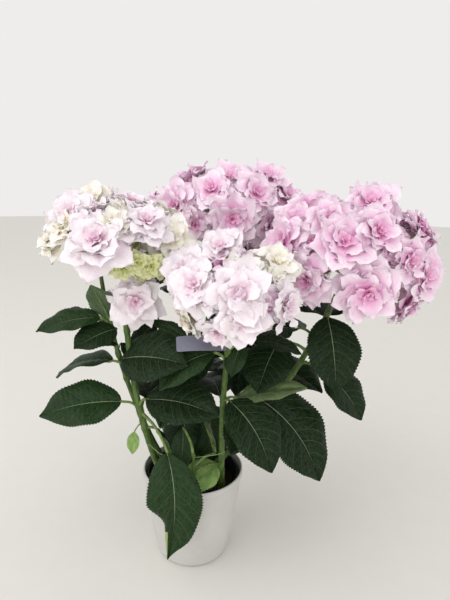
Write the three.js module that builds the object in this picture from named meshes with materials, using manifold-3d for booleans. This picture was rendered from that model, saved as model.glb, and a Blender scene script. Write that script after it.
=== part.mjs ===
// A potted hydrangea: a plain round pot with its nursery pot and soil, and the shoots that grow out of it.
// A shoot is a bare stem, then a mass of leaves round the stem's upper part, then a flower head at its tip.
// Sizes are in millimetres and angles in degrees. X runs to the right, Y to the back and Z up.
// The origin is the middle of the pot's flat underside.

import * as THREE from 'three';
import { mergeVertices } from 'three/addons/utils/BufferGeometryUtils.js';
import Module from 'manifold-3d';

const wasm = await Module();
wasm.setup();

// The clearance between one solid and the next.
const GAP = 0.3;

// An edge shorter than this is closed up, so that a joined solid has no slivers.
const SHORTEST_EDGE = 0.3;

const POT = {
  height: 125,
  rimRadius: 68.5,
  rimBand: 9,
  rimStep: 1.3,
  baseRadius: 45,
  heelRadius: 51,
  heelHeight: 11,
  bellyRadius: 57,
  bellyHeight: 45,
  neckRadius: 66.4,
  wall: 2.6,
  floor: 4,
  sides: 28,
};

const NURSERY_POT = {
  height: 119,
  topRadius: 62.4,
  footRadius: 44,
  wall: 1.6,
  floor: 2,
  sides: 20,
};

const SOIL = { top: 104, sides: 20 };

// A stem runs from its foot on the soil to its tip inside the flower head. Bow is how far its middle
// stands off the straight line. The bare stem ends at leafy, and the flower head's own stem starts at
// neck, both as shares of the length.
const SHOOTS = {
  left: { foot: [-36, -14], tip: [-82, -26, 420], bow: [-13, -22], leafy: 0.3, neck: 0.8, radius: [4.4, 3] },
  far_left: { foot: [-26, 2], tip: [-112, -28, 398], bow: [-11, -16], leafy: 0.48, radius: [3.6, 2.4] },
  front: { foot: [40, -22], tip: [46, -86, 372], bow: [-5, 1], leafy: 0.4, neck: 0.88, radius: [4.2, 2.8] },
  right: { foot: [12, 4], tip: [188, -6, 404], bow: [24, -2], leafy: 0.28, neck: 0.86, radius: [4.6, 3] },
  back: { foot: [2, 26], tip: [36, 94, 440], bow: [-8, 6], leafy: 0.3, neck: 0.84, radius: [4.6, 3] },
  rear_right: { foot: [28, 28], tip: [128, 152, 366], bow: [0, 12], leafy: 0.26, neck: 0.84, radius: [4.2, 2.8] },
  rear_left: { foot: [-26, 24], tip: [-118, 112, 404], bow: [-4, 10], leafy: 0.26, neck: 0.84, radius: [4.2, 2.8] },
  low_front: { foot: [4, -34], tip: [2, -48, 172], bow: [0, -2], leafy: 0.12, radius: [3, 2] },
  low_rear: { foot: [6, 42], tip: [2, 60, 180], bow: [0, 2], leafy: 0.12, radius: [3, 2] },
};

// A flower head is a dome of florets. Each posed floret has its direction from the dome's middle, as a
// turn about Z from +X and a rise above level, its reach as a share of the dome, and its size across.
// One that hangs has the direction that it faces as well.
const HEADS = {
  front: {
    centre: [49, -90, 386],
    dome: [57, 54, 44],
    posed: [
      { turn: 135, rise: 70, reach: 1.2, across: 64 },
      { turn: 175, rise: 32, reach: 1.15, across: 62 },
      { turn: -88, rise: 22, reach: 1, across: 74 },
      { turn: -145, rise: 24, reach: 1, across: 66 },
      { turn: -85, rise: -12, reach: 1.02, across: 68 },
      { turn: 10, rise: 48, reach: 1.1, across: 60 },
      { turn: -38, rise: 2, reach: 1.04, across: 60 },
      { turn: -112, rise: -38, reach: 1.05, across: 62 },
    ],
    fill: 8,
  },
  left: {
    centre: [-98, -24, 436],
    dome: [78, 62, 44],
    posed: [
      { turn: -92, rise: 6, reach: 1, across: 86 },
      { turn: 150, rise: 72, reach: 1.05, across: 64 },
      { turn: -45, rise: 34, reach: 1, across: 68 },
      { turn: -18, rise: 6, reach: 1, across: 70 },
      { turn: -150, rise: 50, reach: 1.1, across: 62 },
      { turn: -172, rise: 4, reach: 1, across: 60 },
      { turn: 178, rise: 34, reach: 1.05, across: 60 },
      { turn: -48, rise: -68, reach: 1.6, across: 74, face: [-78, 0] },
    ],
    fill: 8,
  },
  back: {
    centre: [38, 95, 464],
    dome: [87, 70, 50],
    posed: [
      { turn: -138, rise: 10, reach: 1, across: 78 },
      { turn: -105, rise: 38, reach: 1, across: 70 },
      { turn: -117, rise: -12, reach: 1, across: 58 },
      { turn: -85, rise: -2, reach: 1, across: 80 },
      { turn: -70, rise: 80, reach: 1, across: 76 },
      { turn: -60, rise: 34, reach: 1, across: 74 },
      { turn: 0, rise: 56, reach: 1.16, across: 70 },
      { turn: -6, rise: 28, reach: 1.05, across: 72 },
      { turn: 178, rise: 5, reach: 1.14, across: 60 },
      { turn: -48, rise: -12, reach: 1, across: 70 },
    ],
    fill: 9,
  },
  right: {
    centre: [190, -5, 416],
    dome: [90, 78, 66],
    posed: [
      { turn: 162, rise: 56, reach: 1.05, across: 70 },
      { turn: -164, rise: 20, reach: 1, across: 76 },
      { turn: 4, rise: 76, reach: 1.14, across: 78 },
      { turn: -107, rise: 26, reach: 1, across: 76 },
      { turn: -79, rise: 38, reach: 1, across: 74 },
      { turn: -14, rise: 34, reach: 1.08, across: 68 },
      { turn: -131, rise: -12, reach: 1, across: 72 },
      { turn: -86, rise: -20, reach: 1, across: 86 },
      { turn: -34, rise: -6, reach: 1.02, across: 76 },
      { turn: -40, rise: -38, reach: 1.1, across: 66 },
      { turn: -52, rise: 10, reach: 0.94, across: 70 },
      { turn: -128, rise: 52, reach: 0.95, across: 68 },
      { turn: 178, rise: 42, reach: 1, across: 66 },
    ],
    fill: 9,
  },
  rear_right: { centre: [132, 156, 386], dome: [62, 58, 42], posed: [], fill: 12 },
  rear_left: { centre: [-124, 116, 420], dome: [46, 46, 32], posed: [], fill: 9 },
};

// Each posed leaf leaves its stem at a share of the stem's length. Its stalk has a turn, a rise and a
// length. The blade swings off the stalk's turn, starts at its own pitch, droops along its length and
// leans so that its upper face turns to the front. A row holds these in the order of LEAF_ROW.
const LEAF_ROW = ['at', 'turn', 'rise', 'stalk', 'swing', 'pitch', 'droop', 'long', 'wide', 'lean'];
const POSED_LEAVES = {
  left: [
    [0.6, -159, 27, 11, 129, 25, 26, 96, 70, 52],
    [0.6, 88, 37, 21, -47, 45, 10, 50, 30, 30],
    [0.4, -154, 32, 27, -13, 8, 22, 98, 68, 46],
    [0.4, 143, 29, 30, 6, 23, 20, 64, 44, 50],
    [0.41, -55, 40, 29, 30, 15, 30, 98, 66, 36],
    [0.39, -37, -42, 62, -46, -65, 26, 134, 72, 0],
    [0.72, 5, 20, 33, -26, -7, 30, 56, 20, 30],
    [0.38, 119, -21, 18, -143, -71, 10, 84, 30, -50],
    [0.34, -140, -38, 16, -10, -66, 20, 30, 13, 0],
  ],
  far_left: [
    [0.77, -103, 80, 14, -36, 68, 10, 52, 44, -40],
    [0.77, -158, 53, 22, -6, 5, 34, 76, 38, 30],
    [0.75, -52, 50, 14, -90, -3, 30, 56, 46, 30],
    [0.65, -65, 35, 12, -40, -20, 74, 46, 34, 0],
    [0.67, -88, 79, 14, -56, 15, 20, 20, 12, 20],
    [0.67, 55, 67, 14, -75, -46, 30, 28, 16, 20],
  ],
  front: [
    [0.53, -56, 26, 15, 14, -19, 52, 98, 72, 14],
    [0.54, 12, 4, 19, -25, 26, 20, 86, 34, 30],
    [0.8, 21, 28, 20, -143, -43, 34, 44, 30, 0],
    [0.74, -153, 42, 22, -17, -6, 60, 80, 50, 30],
  ],
  right: [
    [0.39, -120, 45, 40, 100, -24, 50, 136, 90, 34],
    [0.83, -100, -4, 15, 18, -42, 34, 94, 70, 0],
    [0.62, -36, -10, 34, 6, -24, 40, 76, 62, 20],
    [0.67, -158, 18, 47, 39, -34, 40, 72, 66, 10],
    [0.73, -174, 24, 36, 28, 5, 24, 60, 42, 30],
  ],
  back: [
    [0.38, -128, 14, 26, -8, 4, 44, 84, 52, 20],
    [0.46, -62, 10, 24, 6, -6, 44, 92, 58, 20],
    [0.56, -100, 6, 26, -4, -20, 40, 88, 56, 10],
  ],
  low_front: [
    [0.94, 136, 58, 37, 138, -60, 20, 56, 30, 0],
    [0.68, 31, 20, 35, 155, 75, 10, 54, 38, 0],
    [0.53, 33, 3, 36, -171, -9, 40, 48, 44, 20],
  ],
};

// The sides that no posed leaf covers get pairs of leaves. Each pair stands a quarter turn from the
// one below, and a seeded draw varies it. Leaves that would face the front are kept only where front
// is true.
const PAIRS = {
  far_left: { from: 0.56, to: 0.78, count: 2, first: 75, long: 70, seed: 11, front: false },
  left: { from: 0.38, to: 0.74, count: 3, first: 80, long: 100, seed: 12, front: false },
  front: { from: 0.5, to: 0.8, count: 2, first: 95, long: 84, seed: 13, front: false },
  right: { from: 0.36, to: 0.78, count: 3, first: 70, long: 110, seed: 14, front: false },
  back: { from: 0.36, to: 0.8, count: 5, first: 60, long: 112, seed: 15, front: true },
  rear_right: { from: 0.34, to: 0.82, count: 4, first: 40, long: 112, seed: 16, front: true },
  rear_left: { from: 0.34, to: 0.82, count: 4, first: 110, long: 108, seed: 17, front: false },
  low_rear: { from: 0.4, to: 0.9, count: 2, first: 60, long: 92, seed: 18, front: false },
};

// What the seeded pairs have in common: their size and shape, each with how much the draw adds.
const PAIR_RULE = {
  rise: 24,
  turn: [-12, 24],
  long: [0.86, 0.28],
  pitch: [22, -20],
  droop: [34, 30],
  lean: [0, 20],
  wide: [0.56, 0.08],
  stalk: [16, 14],
  lowest: 1.1,
  shrink: 0.35,
  hidden: -0.1,
};

// Thick is a share of the blade's length. Skew, fullness, taper and tip shape the blade's outline.
const LEAF = {
  steps: 4,
  arcParts: 24,
  fold: 14,
  thick: 1 / 80,
  thinnest: 0.6,
  stalkRadius: 1.7,
  stalkShare: 0.03,
  stalkArch: 14,
  sink: 5,
  skew: 0.72,
  fullness: 0.85,
  taper: 0.3,
  tip: 0.03,
};

// Low and high are how far the alternate tips stand below and above the disc, as shares of its width.
const FLORET = {
  points: 8,
  calyx: 6,
  rim: 0.6,
  crown: 9,
  second: 0.9,
  low: -0.06,
  high: 0.08,
  stalkRadius: 1.5,
};

// The florets that fill a dome wind down it from near its top, wherever there is room between the others.
const FILL = { tries: 60, turn: 137.5, top: 88, span: 118, across: 24, growth: 0.62, room: 0.33 };

// How a flower head branches from its hub, which is near the stem's tip.
const BRANCHING = {
  hub: 0.985,
  parts: 5,
  fork: 0.42,
  radius: 2.3,
  thinning: 0.5,
  overlap: 0.06,
  sink: 0.3,
  spin: 0.9,
};

const LABEL = { long: 56, wide: 34, thick: 0.8, tilt: 12, turn: 6, centre: [10.8, -76, 328] };

const COLOURS = {
  pot: 0xdddcda,
  nurseryPot: 0x17181a,
  soil: 0x2b211b,
  stem: 0x6d8a48,
  leaf: 0x2c4231,
  label: 0x8d91a6,
  front: 0xf6e7ee,
  left: 0xf5eef0,
  back: 0xf0b6d8,
  right: 0xf0c2dd,
  rear_right: 0xf1bddb,
  rear_left: 0xf3d3e4,
};

const rad = THREE.MathUtils.degToRad;
const UP = new THREE.Vector3(0, 0, 1);

/** A repeatable draw of numbers from 0 to 1. */
function seededDraw(seed) {
  let state = seed * 7919;
  return () => {
    state = (state * 16807) % 2147483647;
    return state / 2147483647;
  };
}

/** The unit vector with a given turn about Z and a given rise above level. */
function facing(turn, rise) {
  const level = Math.cos(rad(rise));
  return new THREE.Vector3(level * Math.cos(rad(turn)), level * Math.sin(rad(turn)), Math.sin(rad(rise)));
}

/** The stem's curve, a parabola from foot to tip through its bowed middle. */
function stemCurve({ foot, tip, bow }) {
  const start = new THREE.Vector3(foot[0], foot[1], SOIL.top + GAP);
  const end = new THREE.Vector3(...tip);
  const control = start.clone().add(end).multiplyScalar(0.5);
  control.x += 2 * bow[0];
  control.y += 2 * bow[1];
  const curve = new THREE.QuadraticBezierCurve3(start, control, end);
  curve.cutLevel = true;
  return curve;
}

/** Takes off everything but positions, shares the corners and drops faces with no area. */
function sharedCorners(geometry) {
  geometry.deleteAttribute('normal');
  geometry.deleteAttribute('uv');
  const merged = mergeVertices(geometry);
  const kept = [];
  const index = merged.index.array;
  for (let i = 0; i < index.length; i += 3) {
    const [a, b, c] = [index[i], index[i + 1], index[i + 2]];
    if (a !== b && b !== c && c !== a) kept.push(a, b, c);
  }
  merged.setIndex(kept);
  return merged;
}

/** Six times the volume that the triangles from first to last enclose. */
function signedVolume(position, triangles) {
  const [a, b, c] = [new THREE.Vector3(), new THREE.Vector3(), new THREE.Vector3()];
  let sum = 0;
  for (let i = 0; i < triangles.length; i += 3) {
    a.fromArray(position, 3 * triangles[i]);
    b.fromArray(position, 3 * triangles[i + 1]);
    c.fromArray(position, 3 * triangles[i + 2]);
    sum += a.dot(b.cross(c));
  }
  return sum;
}

/** Turns a closed geometry with shared corners into a solid that faces out. */
function solidOf(geometry) {
  const vertProperties = new Float32Array(geometry.attributes.position.array);
  const triVerts = new Uint32Array(geometry.index.array);
  if (signedVolume(vertProperties, triVerts) < 0) triVerts.reverse();
  const mesh = new wasm.Mesh({ numProp: 3, vertProperties, triVerts });
  return new wasm.Manifold(mesh);
}

/** Moves each corner of a geometry to where a function of its own place puts it. */
function reshape(geometry, move) {
  const position = geometry.attributes.position;
  const corner = new THREE.Vector3();
  for (let i = 0; i < position.count; i += 1) {
    const place = move(corner.fromBufferAttribute(position, i));
    position.setXYZ(i, place.x, place.y, place.z);
  }
  return geometry;
}

/** A tapering limb along a curve, between two shares of its length. One that starts at 0 is cut level. */
function limb(curve, from, to, radiusAt, sides, steps) {
  const straight = sharedCorners(new THREE.CylinderGeometry(1, 1, 1, sides, steps));
  const bent = reshape(straight, ({ x, y, z }) => {
    const share = from + (to - from) * (y + 0.5);
    const along = share === 0 && curve.cutLevel ? UP : curve.getTangentAt(share);
    const side = new THREE.Vector3().crossVectors(along, new THREE.Vector3(0.31, 0.95, 0.05)).normalize();
    const other = new THREE.Vector3().crossVectors(side, along);
    const radius = radiusAt(share);
    return curve.getPointAt(share).addScaledVector(side, x * radius).addScaledVector(other, z * radius);
  });
  return solidOf(bent);
}

/** The blade's half width at a share of its length, as a share of its greatest. */
function bladeOutline(share) {
  const full = Math.sin(Math.PI * share ** LEAF.skew) ** LEAF.fullness;
  return Math.max(LEAF.tip, full * (1 - LEAF.taper * share ** 5));
}

/** A leaf: a three-sided stalk out of the stem, and a folded, drooping blade on its end. */
function leaf(shoot, pose, spare) {
  const { at, turn, rise, stalk, swing, pitch, droop, long, wide, lean } = pose;
  const root = shoot.curve.getPointAt(at);
  const start = root.clone().addScaledVector(facing(turn, rise + LEAF.stalkArch), stalk * 0.5);
  const base = root.clone().addScaledVector(facing(turn, rise), stalk);
  const heading = turn + swing;
  const onward = base.clone().addScaledVector(facing(heading, pitch), LEAF.sink);
  const stalkCurve = new THREE.CatmullRomCurve3([root, start, base, onward]);
  const thickness = Math.max(LEAF.thinnest, long * LEAF.thick) + 2 * spare;
  const stalkRadius = Math.min(LEAF.stalkRadius, long * LEAF.stalkShare) + spare;
  const stalkSolid = limb(stalkCurve, 0, 1, () => stalkRadius, 3, 2);

  const bends = [base.clone()];
  const slope = (share) => pitch - droop * share;
  const parts = LEAF.arcParts;
  for (let i = 0; i < parts; i += 1) {
    bends.push(bends[i].clone().addScaledVector(facing(heading, slope((i + 0.5) / parts)), long / parts));
  }
  const flat = sharedCorners(new THREE.BoxGeometry(2, 1, 1, 2, LEAF.steps, 1));
  const blade = reshape(flat, ({ x, y, z }) => {
    const share = y + 0.5;
    const along = facing(heading, slope(share));
    const level = new THREE.Vector3().crossVectors(along, UP).normalize();
    const side = level.applyAxisAngle(along, rad(lean * Math.cos(rad(heading))));
    const above = new THREE.Vector3().crossVectors(side, along);
    const half = (wide / 2) * bladeOutline(share) + spare;
    const spot = bends[Math.round(share * parts)].clone();
    spot.addScaledVector(side, x * half * Math.cos(rad(LEAF.fold)));
    return spot.addScaledVector(above, Math.abs(x) * half * Math.sin(rad(LEAF.fold)) + z * thickness);
  });
  return stalkSolid.add(solidOf(blade));
}

/** A floret: a thick disc with eight sepal tips, every other one raised, and a raised middle. */
function floret(centre, normal, across, spin, spare) {
  const { points, calyx, rim, crown, second, low, high } = FLORET;
  const profile = [[0, -calyx - spare], [1, -rim - spare], [1, rim + spare], [0, crown + spare]];
  const disc = new THREE.LatheGeometry(profile.map(([x, y]) => new THREE.Vector2(x, y)), points);
  const side = new THREE.Vector3().crossVectors(normal, new THREE.Vector3(0.2, 0.3, 0.93)).normalize();
  const other = new THREE.Vector3().crossVectors(side, normal);
  const star = reshape(sharedCorners(disc), ({ x, y, z }) => {
    const turn = Math.atan2(z, x);
    const outer = Math.round((turn / (2 * Math.PI)) * points + points) % 2 === 0;
    const share = outer ? 1 : second;
    const lift = Math.hypot(x, z) * (outer ? low : high) * across;
    const reach = Math.hypot(x, z) * (share * across / 2 + spare);
    const place = centre.clone().addScaledVector(normal, y + lift);
    place.addScaledVector(side, reach * Math.cos(turn + spin));
    return place.addScaledVector(other, reach * Math.sin(turn + spin));
  });
  return solidOf(star);
}

/** Where a floret of the dome sits and which way it faces. */
function onDome(head, { turn, rise, reach, face }) {
  const out = facing(turn, rise);
  const [a, b, c] = head.dome;
  const place = new THREE.Vector3(out.x * a, out.y * b, out.z * c).multiplyScalar(reach);
  const normal = new THREE.Vector3(out.x / a, out.y / b, out.z / c).normalize();
  place.add(new THREE.Vector3(...head.centre));
  return { place, normal: face ? facing(...face) : normal.add(out).normalize() };
}

/** The posed florets of a head, then more on a spiral over the dome wherever there is room. */
function headLayout(head) {
  const spots = head.posed.map((pose) => ({ ...onDome(head, pose), across: pose.across }));
  const across = FILL.across + FILL.growth * Math.sqrt(head.dome[0] * head.dome[1]);
  let left = head.fill;
  for (let i = 0; i < FILL.tries && left > 0; i += 1) {
    const rise = FILL.top - (i / FILL.tries) * FILL.span;
    const spot = { ...onDome(head, { turn: i * FILL.turn, rise, reach: 1 }), across };
    const apart = (other) => other.place.distanceTo(spot.place) > FILL.room * (other.across + across);
    const room = spots.every(apart);
    if (room) {
      spots.push(spot);
      left -= 1;
    }
  }
  return spots;
}

const finished = {};

/** Notes a solid as part of a node, so that later pieces of other nodes keep clear of it. */
function note(name, piece) {
  finished[name] = finished[name] ?? [];
  finished[name].push({ piece, box: boxOf(piece) });
}

/** The box round a solid. */
function boxOf(piece) {
  const { min, max } = piece.boundingBox();
  return new THREE.Box3(new THREE.Vector3(...min), new THREE.Vector3(...max));
}

/** Whether a solid meets any noted piece of another node. */
function meetsOthers(name, piece) {
  const box = boxOf(piece);
  return Object.entries(finished).some(([node, pieces]) => node !== name
    && pieces.some((other) => other.box.intersectsBox(box) && !piece.intersect(other.piece).isEmpty()));
}

/** The corners that share a triangle with each corner. */
function neighbours(count, triangles) {
  const near = Array.from({ length: count }, () => new Set());
  for (let i = 0; i < triangles.length; i += 3) {
    for (const [a, b] of [[0, 1], [1, 2], [2, 0]]) {
      near[triangles[i + a]].add(triangles[i + b]);
      near[triangles[i + b]].add(triangles[i + a]);
    }
  }
  return near;
}

/** Draws the two corners of every very short edge together, wherever the skin stays closed. */
function closeShortEdges(position, triangles) {
  const offset = (a, b, axis) => position[3 * a + axis] - position[3 * b + axis];
  const length = (a, b) => Math.hypot(offset(a, b, 0), offset(a, b, 1), offset(a, b, 2));
  let kept = triangles;
  for (let closed = true; closed;) {
    closed = false;
    const near = neighbours(position.length / 3, kept);
    const moved = new Map();
    const busy = new Set();
    for (let i = 0; i < kept.length; i += 1) {
      const [a, b] = [kept[i], kept[i % 3 === 2 ? i - 2 : i + 1]];
      const ring = [a, b, ...near[a], ...near[b]];
      const shared = [...near[a]].filter((corner) => near[b].has(corner));
      const free = !ring.some((corner) => busy.has(corner));
      if (a < b && free && shared.length === 2 && length(a, b) < SHORTEST_EDGE) {
        moved.set(b, a);
        ring.forEach((corner) => busy.add(corner));
        closed = true;
      }
    }
    kept = kept.map((corner) => moved.get(corner) ?? corner);
    kept = kept.filter((_, i) => new Set(kept.slice(i - (i % 3), i - (i % 3) + 3)).size === 3);
  }
  return kept;
}

/** Joins solids into one and keeps its outer skin, so that no sealed hollow or loose scrap is left. */
function fuse(solids) {
  const { vertProperties, triVerts } = solids.reduce((sum, next) => sum.add(next)).getMesh();
  const owner = Array.from({ length: vertProperties.length / 3 }, (_, i) => i);
  const find = (i) => {
    let at = i;
    while (owner[at] !== at) {
      owner[at] = owner[owner[at]];
      at = owner[at];
    }
    return at;
  };
  for (let i = 0; i < triVerts.length; i += 3) {
    owner[find(triVerts[i + 1])] = find(triVerts[i]);
    owner[find(triVerts[i + 2])] = find(triVerts[i]);
  }
  const skins = new Map();
  for (let i = 0; i < triVerts.length; i += 3) {
    const skin = find(triVerts[i]);
    if (!skins.has(skin)) skins.set(skin, []);
    skins.get(skin).push(triVerts[i], triVerts[i + 1], triVerts[i + 2]);
  }
  const volume = (triangles) => signedVolume(vertProperties, triangles);
  const outer = [...skins.values()].reduce((best, next) => (volume(next) > volume(best) ? next : best));
  const geometry = new THREE.BufferGeometry();
  geometry.setAttribute('position', new THREE.Float32BufferAttribute(vertProperties, 3));
  geometry.setIndex(closeShortEdges(vertProperties, outer));
  return sharedCorners(geometry);
}

const plant = new THREE.Group();
plant.name = 'hydrangea';

/** Adds a node to the plant, with its colour, roughness and metalness. */
function addNode(name, geometry, color, roughness) {
  const mesh = new THREE.Mesh(geometry, new THREE.MeshStandardMaterial({ color, roughness, metalness: 0 }));
  mesh.name = name;
  plant.add(mesh);
}

/** A turned piece from its half section, standing on Z. */
function turned(section, sides) {
  const outline = section.map(([radius, height]) => new THREE.Vector2(radius, height));
  const geometry = new THREE.LatheGeometry(outline, sides).rotateX(Math.PI / 2);
  return solidOf(sharedCorners(geometry));
}

/** The white pot: a smooth belly, a raised band under its rounded rim, and a flat floor. */
function pot() {
  const { height, rimRadius, rimBand, rimStep, baseRadius, heelRadius, heelHeight } = POT;
  const { bellyRadius, bellyHeight, neckRadius, wall, floor, sides } = POT;
  const bandFoot = height - rimBand;
  return turned([
    [0, 0],
    [baseRadius, 0],
    [heelRadius - 2, heelHeight * 0.4],
    [heelRadius, heelHeight],
    [bellyRadius, bellyHeight],
    [neckRadius, bandFoot - rimStep],
    [rimRadius - 0.4, bandFoot],
    [rimRadius, height - 2],
    [rimRadius - 1, height],
    [rimRadius - wall, height],
    [neckRadius - wall, bandFoot - rimStep],
    [bellyRadius - wall, bellyHeight],
    [heelRadius - wall, floor],
    [0, floor],
  ], sides);
}

/** The black nursery pot that stands inside on the pot's floor. */
function nurseryPot() {
  const { height, topRadius, footRadius, wall, floor, sides } = NURSERY_POT;
  const stand = POT.floor + GAP;
  return turned([
    [0, stand],
    [footRadius, stand],
    [topRadius, height],
    [topRadius - wall, height],
    [footRadius - wall, stand + floor],
    [0, stand + floor],
  ], sides);
}

/** The soil, which fills the nursery pot to its flat top. */
function soil() {
  const { height, topRadius, footRadius, wall, floor } = NURSERY_POT;
  const bottom = POT.floor + 2 * GAP + floor;
  const inner = (level) => {
    const share = (level - POT.floor - GAP - floor) / (height - POT.floor - GAP - floor);
    return footRadius - wall + share * (topRadius - footRadius) - 2 * GAP;
  };
  return turned([[0, bottom], [inner(bottom), bottom], [inner(SOIL.top), SOIL.top], [0, SOIL.top]], SOIL.sides);
}

/** Works out a shoot's curve and the radius along it. The foot flares a little. */
function grown(name) {
  const spec = SHOOTS[name];
  const curve = stemCurve(spec);
  const [foot, tip] = spec.radius;
  const radiusAt = (share) => foot + (tip - foot) * share + 1.4 * Math.exp(-share * 30);
  const step = GAP / curve.getLength();
  return { name, curve, radiusAt, leafy: spec.leafy, neck: spec.neck ?? 1, step };
}

const shoots = Object.keys(SHOOTS).map(grown);

/** The bare stem, from its flat foot on the soil to where the leaves start. */
function bareStem(shoot) {
  return limb(shoot.curve, 0, shoot.leafy, shoot.radiusAt, 6, 4);
}

/** The leaf mass's own stem, on from the bare stem. */
function leafyStem(shoot) {
  return limb(shoot.curve, shoot.leafy + shoot.step, shoot.neck, shoot.radiusAt, 6, 4);
}

/** The flower head's own stem, on from the leaf mass. */
function headStem(shoot) {
  return limb(shoot.curve, shoot.neck + shoot.step, 1, shoot.radiusAt, 6, 2);
}

/** A flower head: stalks that branch from the stem's tip in fifths of a turn, and a floret on each. */
function flowerHead(shoot) {
  const name = `flower_head_${shoot.name}`;
  const head = HEADS[shoot.name];
  const hub = shoot.curve.getPointAt(BRANCHING.hub);
  const spots = headLayout(head).map((spot, i) => ({ ...spot, spin: i * BRANCHING.spin }));
  const sector = (spot) => {
    const turn = Math.atan2(spot.place.y - head.centre[1], spot.place.x - head.centre[0]);
    return Math.floor((turn / (2 * Math.PI) + 1) * BRANCHING.parts) % BRANCHING.parts;
  };
  const forks = Array.from({ length: BRANCHING.parts }, (_, part) => {
    const own = spots.filter((spot) => sector(spot) === part);
    const mean = own.reduce((sum, spot) => sum.add(spot.place), new THREE.Vector3());
    return mean.divideScalar(Math.max(1, own.length)).sub(hub).multiplyScalar(BRANCHING.fork).add(hub);
  });
  const parts = [headStem(shoot)];
  const used = new Set();
  for (const spot of spots) {
    const fork = forks[sector(spot)];
    const calyx = spot.place.clone().addScaledVector(spot.normal, -FLORET.calyx * BRANCHING.sink);
    const stalkLine = new THREE.LineCurve3(fork, calyx);
    const stalk = (spare) => limb(stalkLine, 0, 1, () => FLORET.stalkRadius + spare, 3, 1);
    const star = (spare) => floret(spot.place, spot.normal, spot.across, spot.spin, spare);
    if (!meetsOthers(name, stalk(GAP)) && !meetsOthers(name, star(GAP))) {
      parts.push(stalk(0).add(star(0)));
      used.add(fork);
    }
  }
  for (const fork of used) {
    const branch = new THREE.LineCurve3(hub, fork.clone().lerp(hub, -BRANCHING.overlap));
    parts.push(limb(branch, 0, 1, (share) => BRANCHING.radius - BRANCHING.thinning * share, 3, 1));
  }
  parts.forEach((part) => note(name, part));
  addNode(name, fuse(parts), COLOURS[shoot.name], 0.75);
}

/** The leaves of a shoot: the posed ones, then the seeded pairs that face away from the front. */
function leafPoses(shoot) {
  const posed = POSED_LEAVES[shoot.name] ?? [];
  const poses = posed.map((row) => Object.fromEntries(LEAF_ROW.map((key, i) => [key, row[i]])));
  const pairs = PAIRS[shoot.name];
  if (!pairs) return poses;
  const next = seededDraw(pairs.seed);
  const draw = ([least, extra]) => least + extra * next();
  for (let pair = 0; pair < pairs.count; pair += 1) {
    const height = pairs.count > 1 ? pair / (pairs.count - 1) : 0;
    const at = pairs.from + (pairs.to - pairs.from) * height;
    for (const half of [0, 180]) {
      const turn = pairs.first + 90 * pair + half + draw(PAIR_RULE.turn);
      const long = pairs.long * (PAIR_RULE.lowest - PAIR_RULE.shrink * height) * draw(PAIR_RULE.long);
      const pitch = draw(PAIR_RULE.pitch);
      const droop = draw(PAIR_RULE.droop);
      const lean = draw(PAIR_RULE.lean);
      const wide = long * draw(PAIR_RULE.wide);
      const stalk = draw(PAIR_RULE.stalk);
      if (pairs.front || Math.sin(rad(turn)) > PAIR_RULE.hidden) {
        poses.push({ at, turn, rise: PAIR_RULE.rise, stalk, swing: 0, pitch, droop, long, wide, lean });
      }
    }
  }
  return poses;
}

const NUDGES = [[0, 0], [0, 5], [0, -5], [6, 0], [-6, 0], [6, 6], [-6, 6], [6, -6], [-6, -6], [12, 0], [-12, 0],
  [0, 12], [0, -12], [12, 10], [-12, 10], [12, -10], [-12, -10]];

/** The first small change of a leaf's heading and pitch that keeps it clear of the other nodes. */
function clearPose(name, shoot, pose) {
  for (const [swing, pitch] of NUDGES) {
    const nudged = { ...pose, swing: pose.swing + swing, pitch: pose.pitch + pitch };
    if (!meetsOthers(name, leaf(shoot, nudged, GAP))) return nudged;
  }
  return null;
}

/** A mass of leaves on its own stretch of stem. A leaf that can't be kept clear is left out. */
function leafMass(shoot) {
  const name = `leaves_${shoot.name}`;
  const parts = [leafyStem(shoot)];
  for (const pose of leafPoses(shoot)) {
    const clear = clearPose(name, shoot, pose);
    if (clear) {
      const grownLeaf = leaf(shoot, clear, 0);
      parts.push(grownLeaf);
      note(name, grownLeaf);
    }
  }
  addNode(name, fuse(parts), COLOURS.leaf, 0.6);
}

/** The bare label, a thin card whose end rests against the front stem. */
function label() {
  const { long, wide, thick, tilt, turn, centre } = LABEL;
  const card = sharedCorners(new THREE.BoxGeometry(long, wide, thick));
  card.rotateX(rad(tilt)).rotateZ(rad(turn)).translate(...centre);
  return solidOf(card);
}

const fixed = { pot: pot(), nursery_pot: nurseryPot(), soil: soil() };
addNode('pot', fuse([fixed.pot]), COLOURS.pot, 0.35);
addNode('nursery_pot', fuse([fixed.nursery_pot]), COLOURS.nurseryPot, 0.6);
addNode('soil', fuse([fixed.soil]), COLOURS.soil, 0.95);
Object.entries(fixed).forEach(([name, solid]) => note(name, solid));

for (const shoot of shoots) {
  const stem = bareStem(shoot);
  note(`stem_${shoot.name}`, stem);
  addNode(`stem_${shoot.name}`, fuse([stem]), COLOURS.stem, 0.6);
  note(`leaves_${shoot.name}`, leafyStem(shoot));
  if (HEADS[shoot.name]) note(`flower_head_${shoot.name}`, headStem(shoot));
}
for (const shoot of shoots.filter(({ name }) => HEADS[name])) flowerHead(shoot);
const card = label();
note('label', card);
addNode('label', fuse([card]), COLOURS.label, 0.4);
for (const shoot of shoots) leafMass(shoot);

export default plant;
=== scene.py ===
"""A potted hydrangea: its pot, soil and stems, its leaves, and its heads of double flowers.

The tables hold millimetres and degrees, and every mesh is made in metres. X runs to the right, Y to
the back and Z up from the middle of the pot's flat underside. The shoots, leaves and florets follow
the same seeded rule as the solids they stand for, and are carried finer within the same reach.
"""

import logging
import math
from collections.abc import Callable, Iterable, Sequence
from dataclasses import dataclass, field, replace
from enum import Enum
from functools import cache

import bpy
import numpy as np
from mathutils import Matrix, Vector, noise
from mathutils.bvhtree import BVHTree


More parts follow.
